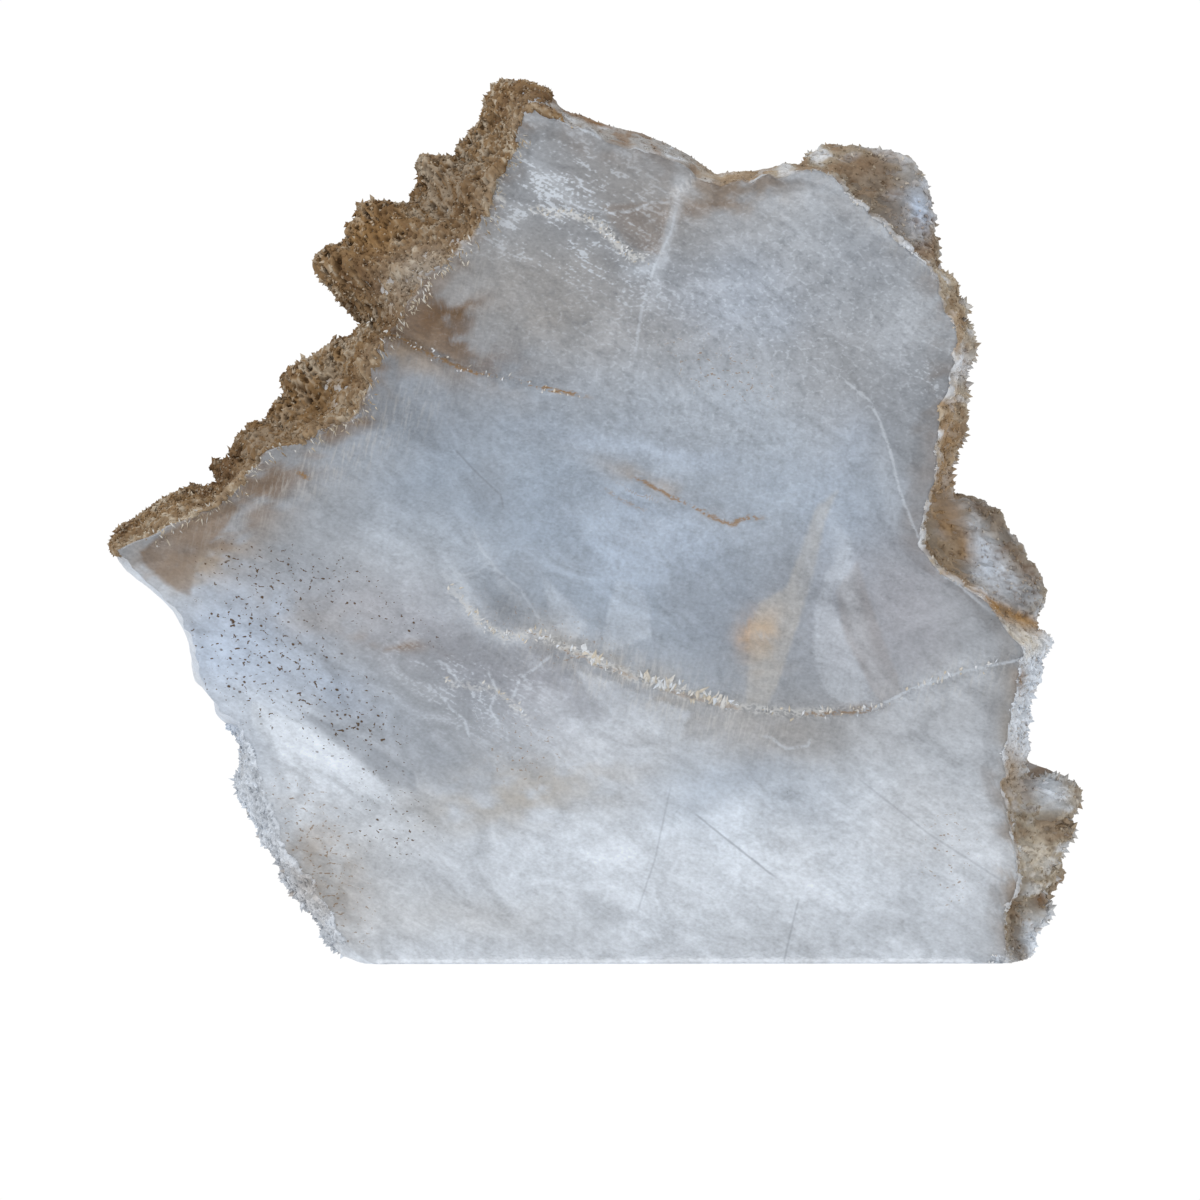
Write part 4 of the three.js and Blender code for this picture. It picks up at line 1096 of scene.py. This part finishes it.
# %% [markdown]
# ## Grains
# Small crystals stud the rind and the crusts. Copies of one object could do it, but each piece should
# be a mesh of its own. So every crystal is a double pyramid of six points, and the points of
# thousands of them are worked out at once from arrays of places, directions and sizes.

# %% Crystals from arrays
draw = np.random.default_rng(20)
PYRAMID_FACES = np.array([(0, 1, 2), (0, 2, 3), (0, 3, 4), (0, 4, 1),
                          (5, 2, 1), (5, 3, 2), (5, 4, 3), (5, 1, 4)])
THROUGH = np.array([0.0, 1.0, 0.0])
TAIL_SHARE = 0.7
CRYSTAL_LOWEST = 0.02
BACK_BORDER = 0.97


def crystals(places, along, length, width, thick, across=None):
    """Joined double pyramids: two tips along each direction and four corners round the middle."""
    along = unit(along)
    turn = draw.normal(size=along.shape)
    hint = turn if across is None else across + 0.2 * turn
    side = unit(np.cross(along, np.cross(hint, along)))
    up = np.cross(along, side)
    length, width, thick = (np.reshape(size, (-1, 1)) for size in (length, width, thick))
    corners = [places + along * length, places + side * width, places + up * thick,
               places - side * width, places - up * thick, places - along * length * TAIL_SHARE]
    points = np.stack(corners, 1).reshape(-1, 3)
    faces = (6 * np.arange(len(places))[:, None, None] + PYRAMID_FACES).reshape(-1, 3)
    points[:, 2] = np.maximum(points[:, 2], CRYSTAL_LOWEST)
    return points, faces


def shade_each(colours, lighter, darker, spread):
    """Each crystal's own colour moved towards one of two paints, repeated for its six points."""
    turn = draw.uniform(-spread, spread, (len(colours), 1))
    own = np.where(turn > 0, mix(colours, lighter, abs(turn)), mix(colours, darker, abs(turn)))
    return np.repeat(own, 6, axis=0)


def pick_paints(count, *coats):
    """A random mix of two neighbouring paints for each crystal."""
    coats = np.array(coats)
    place = draw.uniform(0, len(coats) - 1, count)
    low = place.astype(int)
    return mix(coats[low], coats[np.minimum(low + 1, len(coats) - 1)], (place - low)[:, None])


print("faces of one crystal:", len(PYRAMID_FACES))

# %% Grains on the rinds


def studs(name, skin, count, size, outer_boost, lighter, darker):
    """Small crystals set on a rind in its own colours, larger along the silhouette."""
    points, quads, tint, depth = skin
    normals = vertex_normals(points, quads)
    chosen = draw.permutation(np.flatnonzero(depth < BACK_BORDER))[:count]
    along = unit(normals[chosen] + 0.8 * draw.normal(size=(count, 3)))
    places = points[chosen] + normals[chosen] * draw.uniform(-0.2, 0.1, (count, 1))
    own_size = size * (1 + outer_boost * np.exp(-((depth[chosen] - SILHOUETTE_DEPTH) / 0.12) ** 2))
    sizes = [own_size * draw.uniform(*span, count) for span in ((0.3, 0.8), (0.2, 0.5), (0.15, 0.4))]
    stud_points, stud_faces = crystals(places, along, *sizes)
    stud_tint = shade_each(tint[chosen], lighter, darker, 0.45)
    pieces.append(make_piece(name, stud_points, stud_faces, {"tint": stud_tint}, smooth=False))


studs("rind_grains", (left_points, left_quads, left_tint, left_depth), 9000, 1.0, 1.2, CREAM, RUST)
studs("crust_grains", right_crust, 6000, 1.2, 0.3, CREAM, TAN)
studs("low_grains", low_crust, 1500, 1.2, 0.8, MILK, MIST)
studs("top_grains", top_crust, 700, 0.8, 0.3, CREAM, BARK)

# %% [markdown]
# ## Teeth on the rims
# Against the light the rims look like a saw: wedges of crystal that run through the slab. Relief
# alone would round them off, so each tooth is a crystal of its own, set on the slab's edge in the
# colour of the point that it grows from.

# %% Teeth on the rims


def rim_teeth(name, first, last, count, rows, sizes):
    """Saw teeth that stand out of a rim: wedges that run through the slab, in the rim's own colours."""
    column = draw.integers(*(round(stretch_start[place] * COLUMNS) for place in (first, last)), count)
    row = np.round(draw.uniform(*rows, count) * (len(EDGE_RINGS) - 1)).astype(int)
    number = band.start + column * len(EDGE_RINGS) + row
    out = slab_normals[number]
    lean = unit(out * [1, 0.5, 1] + 0.25 * draw.normal(size=out.shape))
    long = draw.uniform(*sizes, count)
    points, faces = crystals(slab_points[number] - out * 0.4, lean, long, 0.9 * long, 0.5 * long, THROUGH)
    tint = shade_each(slab_tint[number], MILK, TAN, 0.45)
    pieces.append(make_piece(name, points, faces, {"tint": tint}, smooth=False))


rim_teeth("teeth_upper", "upper right teeth", "middle right lens", 260, (0.46, 0.58), (0.9, 2.4))
rim_teeth("teeth_spur", "right spur", "sawn base", 300, (0.46, 0.58), (0.9, 2.4))
rim_teeth("teeth_left", "etched lower left", "scooped left", 200, (0.42, 0.6), (0.9, 2.2))

# %% [markdown]
# ## Flakes along the cracks
# Where a sheet broke off, its edge is frayed into thin flakes, and a fringe of them lies along the
# rind on the face. Hair could show them, but flat crystals along a line are lighter and are plain
# mesh.

# %% Flakes along the cracks


def flakes_along(line, count, spread, direction):
    """Thin flakes on the face beside a line, which point in a direction or, for None, away from it."""
    part = draw.uniform(0.04, 0.96, count) * (len(line) - 1)
    low = part.astype(int)
    step = line[low + 1] - line[low]
    beside = unit(np.stack([-step[:, 1], step[:, 0]], -1))
    centre = line[low] + step * (part - low)[:, None] + draw.normal(size=(count, 2)) * spread
    turned = (beside if direction is None else np.array(direction)) + 0.5 * draw.normal(size=(count, 2))
    y = FACE_Y + face_relief(centre[:, 0], centre[:, 1])
    along = np.stack([turned[:, 0], 0.2 * draw.normal(size=count) - 0.1, turned[:, 1]], -1)
    return np.stack([centre[:, 0], y, centre[:, 1]], -1), along


DOWN_THE_FIBRE, UP_THE_ARC = (0.42, -0.91), (0.25, 0.95)
FIRST_TEETH, LAST_TEETH = photo((578, 648), (600, 660)), photo((640, 676), (680, 690), (735, 703))
FRINGE_INSET = 1.8
rind_columns = [round(stretch_start[name] * COLUMNS) for name in ("left tip", "top edge")]
rind_rim = controls[slice(*rind_columns, 4), 0][:, [0, 2]]
RIND_LINE = rind_rim + FRINGE_INSET * unit(CENTRE - rind_rim)


def flake_piece(name, lines, coats, thickness):
    """Flakes along several lines, each line with its count, spread, direction and size, as one mesh."""
    sets = [flakes_along(*each) for *each, _ in lines]
    places, along = (np.concatenate(part) for part in zip(*sets))
    size = np.concatenate([np.full(each[1], each[-1]) for each in lines])
    sizes = [size * draw.uniform(*span, len(size)) for span in ((0.5, 1.6), (0.06, 0.2), thickness)]
    points, faces = crystals(places, along, *sizes, THROUGH)
    tint = np.repeat(pick_paints(len(size), *coats), 6, axis=0)
    pieces.append(make_piece(name, points, faces, {"tint": tint}, smooth=False))


flake_piece("crack_flakes",
            [(ARC_CRACK, 160, 1.0, UP_THE_ARC, 1.0), (FIRST_TEETH, 14, 0.6, UP_THE_ARC, 1.9),
             (LAST_TEETH, 46, 0.7, UP_THE_ARC, 1.9), (NOTCH_CRACK, 40, 0.8, None, 0.8),
             (FLOOR_LINE, 70, 0.8, None, 0.7), (ZIGZAG, 20, 0.6, None, 0.8)],
            (0.8 * CREAM, 0.85 * mix(CREAM, MILK, 0.5), 0.8 * MILK), (0.2, 0.5))
flake_piece("rind_fringe", [(RIND_LINE, 360, 1.2, DOWN_THE_FIBRE, 1.2)],
            (0.65 * TAN, 0.75 * CREAM, 0.75 * mix(CREAM, MILK, 0.5)), (0.1, 0.24))

# %% [markdown]
# ## Shader sums
# A material is a small program, and node by node it is hard to read. This class wraps a socket so
# that plus, minus and times add the Math nodes by themselves. Its method for any other node takes
# the settings first, because some of them change the sockets, and then the inputs.

# %% Shader class


class Wire:
    """A shader socket that can be used in sums."""

    def __init__(self, tree, socket=None):
        self.tree, self.socket = tree, socket

    def node(self, kind, settings=None, inputs=None, output=0):
        """Add a node: settings, then values or links for its sockets by name or number."""
        made = self.tree.nodes.new(kind)
        for name, value in (settings or {}).items():
            setattr(made, name, value)
        for key, value in (inputs or {}).items():
            if isinstance(value, Wire):
                self.tree.links.new(value.socket, made.inputs[key])
            else:
                made.inputs[key].default_value = value
        return Wire(self.tree, made.outputs[output])

    def sibling(self, output):
        """Another output of the same node."""
        return Wire(self.tree, self.socket.node.outputs[output])

    def sums(self, operation, first, second):
        return self.node("ShaderNodeMath", {"operation": operation}, {0: first, 1: second})

    def __add__(self, other):
        return self.sums("ADD", self, other)

    def __radd__(self, other):
        return self.sums("ADD", other, self)

    def __sub__(self, other):
        return self.sums("SUBTRACT", self, other)

    def __rsub__(self, other):
        return self.sums("SUBTRACT", other, self)

    def __mul__(self, other):
        return self.sums("MULTIPLY", self, other)

    def __rmul__(self, other):
        return self.sums("MULTIPLY", other, self)

    def __abs__(self):
        return self.sums("ABSOLUTE", self, 0.0)

    def ramp(self, low, high):
        """0 at low, 1 at high, smooth between; low may be the larger number."""
        return self.node("ShaderNodeMapRange", {"interpolation_type": "SMOOTHSTEP"},
                         {"Value": self, "From Min": low, "From Max": high})


# %% Shader helpers


def blend(share, first, second):
    """The second colour over the first, as much as share says."""
    return share.node("ShaderNodeMix", {"data_type": "RGBA"}, {0: share, 6: first, 7: second}, 2)


def opaque(coat):
    """A paint as the four numbers that a colour socket takes."""
    return (*(float(c) for c in coat), 1.0)


def start_material(name):
    """An empty node material: the material, its first wire, its output node and its main shader."""
    material = bpy.data.materials.new(name)
    material.use_nodes = True
    tree = material.node_tree
    shader = tree.nodes["Principled BSDF"]
    return material, Wire(tree), tree.nodes["Material Output"], shader


def feed(wire, shader, **links):
    """Link wires to the shader's sockets: base_color feeds Base Color, and so on."""
    for name, value in links.items():
        wire.tree.links.new(value.socket, shader.inputs[name.replace("_", " ").title()])


def layer(wire, title):
    """A point attribute of the mesh as a colour."""
    return wire.node("ShaderNodeAttribute", {"attribute_name": title}, output="Color")


def channels(wire, title):
    """The four channels of a point attribute as wires."""
    colour = layer(wire, title)
    red = wire.node("ShaderNodeSeparateColor", inputs={0: colour})
    return [red, red.sibling(1), red.sibling(2), colour.sibling("Alpha")]


def scaled(colour, share):
    """A colour or a place times a number."""
    return colour.node("ShaderNodeVectorMath", {"operation": "SCALE"}, {0: colour, "Scale": share})


def millimetres(wire):
    """Object coordinates in millimetres."""
    return scaled(wire.node("ShaderNodeTexCoord", output="Object"), 1 / MM)


def flat_places(place):
    """Places on the face as a flat picture: x to the right and z up."""
    x = place.node("ShaderNodeSeparateXYZ", inputs={0: place})
    return place.node("ShaderNodeCombineXYZ", inputs={0: x, 1: x.sibling("Z")})


def turned(flat, lean, sizes):
    """Flat places turned down to the right by lean and measured in feature sizes along and across."""
    return flat.node("ShaderNodeMapping", {"vector_type": "TEXTURE"},
                     {"Vector": flat, "Rotation": (0, 0, -math.radians(lean)), "Scale": (*sizes, 1.0)})


def streaks(flat, lean, sizes, detail=3.0, roughness=0.6, distortion=0.0):
    """Flat noise drawn out along a direction in the face."""
    return flat.node("ShaderNodeTexNoise", {"noise_dimensions": "2D"}, {
        "Vector": turned(flat, lean, sizes), "Scale": 1.0, "Detail": detail, "Roughness": roughness,
        "Distortion": distortion})


def grain_noise(place, sizes, detail=2.0):
    """Noise in space, with its own size along each axis."""
    cells = place.node("ShaderNodeMapping", {"vector_type": "TEXTURE"}, {"Vector": place, "Scale": sizes})
    return place.node("ShaderNodeTexNoise", inputs={"Vector": cells, "Scale": 1.0, "Detail": detail})


def crackle(flat, lean, sizes, shake):
    """The distance to the borders of random cells, which are straight pieces shaken by noise."""
    cells = turned(flat, lean, sizes)
    moved = cells.node("ShaderNodeVectorMath", {"operation": "ADD"}, {0: cells, 1: shake})
    return cells.node("ShaderNodeTexVoronoi", {"feature": "DISTANCE_TO_EDGE", "voronoi_dimensions": "2D"},
                      {"Vector": moved, "Scale": 1.0})


# %% [markdown]
# ## Selenite
# The crystal lets part of the light through, and the clouds in it send the rest back, which is why it
# looks milky and deep. Plain transmission with gypsum's index of refraction and a faint blue absorption
# do the first, the painted tint does the second. Fibres, sheets and specks break the tint up, and the
# cracks are drawn from their signed distances.

# %% Selenite material
GYPSUM_IOR = 1.52
CLEAR_SHARE = 0.35
ABSORPTION, ABSORPTION_DENSITY = (0.86, 0.92, 1.0, 1.0), 2.0
SPECK = opaque(0.8 * UMBER)


def crack(gap, wobble, width):
    """A thin line where a signed distance, shaken by noise, is near zero."""
    return abs(gap + wobble).ramp(width, 0.1 * width)


def selenite_material():
    """Milky see-through crystal: fibres, sheets, cracks and specks over the painted tint."""
    material, wire, output, shader = start_material("selenite")
    place = millimetres(wire)
    specks, rust, upright, _ = channels(wire, "marks")
    scaly, frayed, painted_glint, _ = channels(wire, "zones")
    white, crumbly, rusty, scratch = channels(wire, "line_gap")
    white_share, crumbly_share, rusty_share, scratch_share = channels(wire, "line_strength")

    flat = flat_places(place)
    diagonal = streaks(flat, 30, (12, 1.0), 3.0, 0.65)
    standing = streaks(flat, 103, (6, 0.9), 3.0, 0.7)
    fibre = diagonal + upright * (standing - diagonal)
    cloud = streaks(flat, 25, (18, 10), 4.0, 0.6, 1.0)
    mottle = streaks(flat, 40, (3.2, 2.2), 4.0, 0.72)
    frost = grain_noise(place, (1.1, 1.1, 0.7), 1.0)
    shake = (mottle - 0.5) * 3.0

    colour = layer(wire, "tint")
    coats = (MILK, SHADE, mix(CREAM, MIST, 0.4), mix(FAWN, DUN, 0.9))
    for depth, strength, coat in zip(channels(wire, "sheet_depth"), channels(wire, "sheet_strength"), coats):
        inside = (depth + shake * 0.6).ramp(SHEET_REACH - 0.7, SHEET_REACH + 1.0)
        colour = blend(inside * strength, colour, opaque(coat))
    colour = scaled(colour, 0.26 * fibre + 0.85 * cloud + 0.55 * mottle + 0.5 * frost)
    colour = blend(standing.ramp(0.46, 0.68) * frayed, colour, opaque(mix(CREAM, MILK, 0.4)))
    # Painted shade: darker patches in the scaly dimples.
    colour = blend(mottle.ramp(0.44, 0.34) * scaly, colour, opaque(SHADE))
    # Painted highlights: clustered white glints.
    colour = blend((frost + diagonal + cloud).ramp(1.6, 1.78) * painted_glint, colour, opaque(MILK))

    broken = mottle.ramp(0.3, 0.52)
    colour = blend(crack(white, shake * 0.5, 0.7) * white_share * broken * 0.8, colour, opaque(MILK))
    crumbs = crack(crumbly, shake * 1.1, 2.0) * (frost + mottle).ramp(0.86, 1.06)
    colour = blend(crumbs * crumbly_share * 0.8, colour, opaque(mix(CREAM, MILK, 0.5)))
    colour = blend(crack(rusty, shake * 0.8, 1.0) * rusty_share * (frost + cloud).ramp(0.84, 1.04), colour,
                   opaque(mix(RUST, AMBER, 0.5)))
    colour = blend(crack(scratch, shake * 0.1, 0.5) * scratch_share, colour, opaque(SHADE))

    chains = crackle(flat, 28, (4.4, 3.0), shake * 0.2).ramp(0.09, 0.04)
    # Painted highlights: bright rims round the scaly dimples.
    colour = blend(chains * (frost + mottle).ramp(1.0, 1.12) * scaly, colour, opaque(MILK))
    dashes = chains * (frost + 0.14 * specks).ramp(0.68, 0.71)
    colour = blend(dashes * specks.ramp(0.1, 0.4), colour, SPECK)
    distance = flat.node("ShaderNodeTexVoronoi", {"voronoi_dimensions": "2D"},
                         {"Vector": turned(flat, 28, (3.4, 2.4)), "Scale": 1.0})
    cell_colour = distance.sibling("Color")
    chance = wire.node("ShaderNodeSeparateColor", inputs={0: cell_colour})
    dots = (distance + shake * 0.08).ramp(0.16, 0.08) * (0.24 * specks - chance).ramp(0.04, 0.08)
    colour = blend(dots, colour, SPECK)
    stains = chains * (frost + 0.12 * rust).ramp(0.64, 0.68) * rust.ramp(0.1, 0.4)
    colour = blend(stains * 0.8, colour, opaque(0.8 * mix(AMBER, DUN, 0.4)))

    bumps = wire.node("ShaderNodeBump", inputs={"Strength": 0.4, "Distance": 0.0005, "Height": frost})
    feed(wire, shader, base_color=colour, roughness=0.22 + 0.3 * cloud, normal=bumps)
    shader.inputs["Transmission Weight"].default_value = CLEAR_SHARE
    shader.inputs["IOR"].default_value = GYPSUM_IOR
    absorb = wire.node("ShaderNodeVolumeAbsorption",
                       inputs={"Color": ABSORPTION, "Density": ABSORPTION_DENSITY})
    wire.tree.links.new(absorb.socket, output.inputs["Volume"])
    return material


selenite = selenite_material()
slab.data.materials.append(selenite)
print("selenite nodes:", len(selenite.node_tree.nodes))

# %% [markdown]
# ## Rind
# The rind, the crusts and the small crystals on them are the same gypsum, but porous and stained with
# iron, so they are opaque and matt. Their pits are real shape; the material only adds finer grain.

# %% Rind material


def rind_material():
    """Matt stained gypsum: the painted tint, broken up by fine grain."""
    material, wire, _, shader = start_material("rind")
    place = millimetres(wire)
    grain = grain_noise(place, (0.8, 0.6, 1.0), 3.0)
    patches = grain_noise(place, (4, 3, 5))
    colour = scaled(layer(wire, "tint"), 0.45 + 0.6 * grain + 0.5 * patches)
    bumps = wire.node("ShaderNodeBump", inputs={"Strength": 0.5, "Distance": 0.0004, "Height": grain})
    feed(wire, shader, base_color=colour, roughness=0.55 + 0.3 * grain, normal=bumps)
    shader.inputs["IOR"].default_value = GYPSUM_IOR
    shader.inputs["Specular IOR Level"].default_value = 0.25
    return material


rind = rind_material()
for piece in pieces:
    piece.data.materials.append(rind)
print("rind nodes:", len(rind.node_tree.nodes))

# %% [markdown]
# ## Studio
# A specimen photograph has white all round and hardly a shadow. A lit white floor would show one, so
# this floor shines by itself and curves up into a backdrop.

# %% Floor and backdrop
BACKDROP = dict(width=6.0, front=-4.0, back=1.6, bend=0.8, height=4.0)


def backdrop():
    """A floor profile with a round bend up to a wall, carried sideways as one sheet."""
    turn = np.linspace(0, np.pi / 2, 17)
    bend_y = BACKDROP["back"] - BACKDROP["bend"] + BACKDROP["bend"] * np.sin(turn)
    bend_z = BACKDROP["bend"] * (1 - np.cos(turn))
    y = np.concatenate([[BACKDROP["front"]], bend_y, [BACKDROP["back"]]])
    z = np.concatenate([[0.0], bend_z, [BACKDROP["height"]]])
    x = np.array([-0.5, 0.5]) * BACKDROP["width"]
    points = np.stack(np.broadcast_arrays(x[:, None], y[None], z[None]), -1).reshape(-1, 3)
    index = np.arange(len(points)).reshape(2, -1)
    quads = np.stack([index[0, :-1], index[1, :-1], index[1, 1:], index[0, 1:]], -1)
    mesh = bpy.data.meshes.new("floor")
    mesh.from_pydata(points.tolist(), [], quads.tolist())
    mesh.polygons.foreach_set("use_smooth", np.ones(len(quads), bool))
    sheet = bpy.data.objects.new("floor", mesh)
    bpy.context.collection.objects.link(sheet)
    return sheet


floor = backdrop()
floor_material, _, _, floor_shader = start_material("floor_paper")
floor_shader.inputs["Base Color"].default_value = (0.0, 0.0, 0.0, 1.0)
floor_shader.inputs["Specular IOR Level"].default_value = 0.0
floor_shader.inputs["Emission Color"].default_value = (1.0, 1.0, 1.0, 1.0)
floor_shader.inputs["Emission Strength"].default_value = 1.02
floor_material.cycles.emission_sampling = "NONE"
floor.data.materials.append(floor_material)
print("floor sheet:", len(floor.data.polygons), "quads")

# %% [markdown]
# ## Light
# Even light from all round shows the milky crystal without glare. One large lamp from the upper left
# and a weak one from the right give the rind its depth. Few bounces are enough for a crystal that is
# only part clear, and they keep a render short.

# %% Lights
scene = bpy.context.scene
scene.view_settings.view_transform = "Standard"
world = bpy.data.worlds.new("studio")
world.use_nodes = True
world.node_tree.nodes["Background"].inputs["Color"].default_value = (1.0, 1.0, 1.0, 1.0)
world.node_tree.nodes["Background"].inputs["Strength"].default_value = 0.6
scene.world = world
scene.cycles.max_bounces = 3
scene.cycles.diffuse_bounces = 2
scene.cycles.glossy_bounces = 1
scene.cycles.transmission_bounces = 3


def soft_lamp(name, place, aim, size, power):
    """A square area lamp at place that looks at aim."""
    lamp = bpy.data.lights.new(name, "AREA")
    lamp.size, lamp.energy = size, power
    holder = bpy.data.objects.new(name, lamp)
    holder.location = place
    direction = np.array(aim) - np.array(place)
    yaw = math.atan2(direction[1], direction[0]) - math.pi / 2
    holder.rotation_euler = (math.atan2(direction[2], math.hypot(*direction[:2])) + math.pi / 2, 0, yaw)
    bpy.context.collection.objects.link(holder)


soft_lamp("key", (-0.9, -1.0, 1.3), (0, 0, 0.12), 0.8, 16)
soft_lamp("fill", (1.2, -1.4, 0.6), (0, 0, 0.12), 1.0, 4)
print("lamps: key and fill")

# %% [markdown]
# ## Camera
# A near camera would enlarge the face over the ledges behind it. So it stands two metres off with a
# long lens and aims at the plane of the cleavage face, where a pixel of the picture is a pixel of
# the photograph.

# %% Camera
CAMERA_DISTANCE = 2.0
CAMERA_LIFT = math.radians(2.0)
PHOTO_SIZE = 1200
(aim_x, aim_z), = photo((PHOTO_SIZE / 2, PHOTO_SIZE / 2)) * MM
camera = bpy.data.cameras.new("camera")
camera.sensor_width = 36.0
camera.lens = camera.sensor_width * CAMERA_DISTANCE / (PHOTO_SIZE * PIXEL_MM * MM)
camera.clip_end = 50
viewer = bpy.data.objects.new("camera", camera)
viewer.location = (aim_x, FACE_Y * MM - CAMERA_DISTANCE * math.cos(CAMERA_LIFT),
                   aim_z + CAMERA_DISTANCE * math.sin(CAMERA_LIFT))
viewer.rotation_euler = (math.pi / 2 - CAMERA_LIFT, 0, 0)
bpy.context.collection.objects.link(viewer)
scene.camera = viewer
print("lens:", round(camera.lens), "mm")
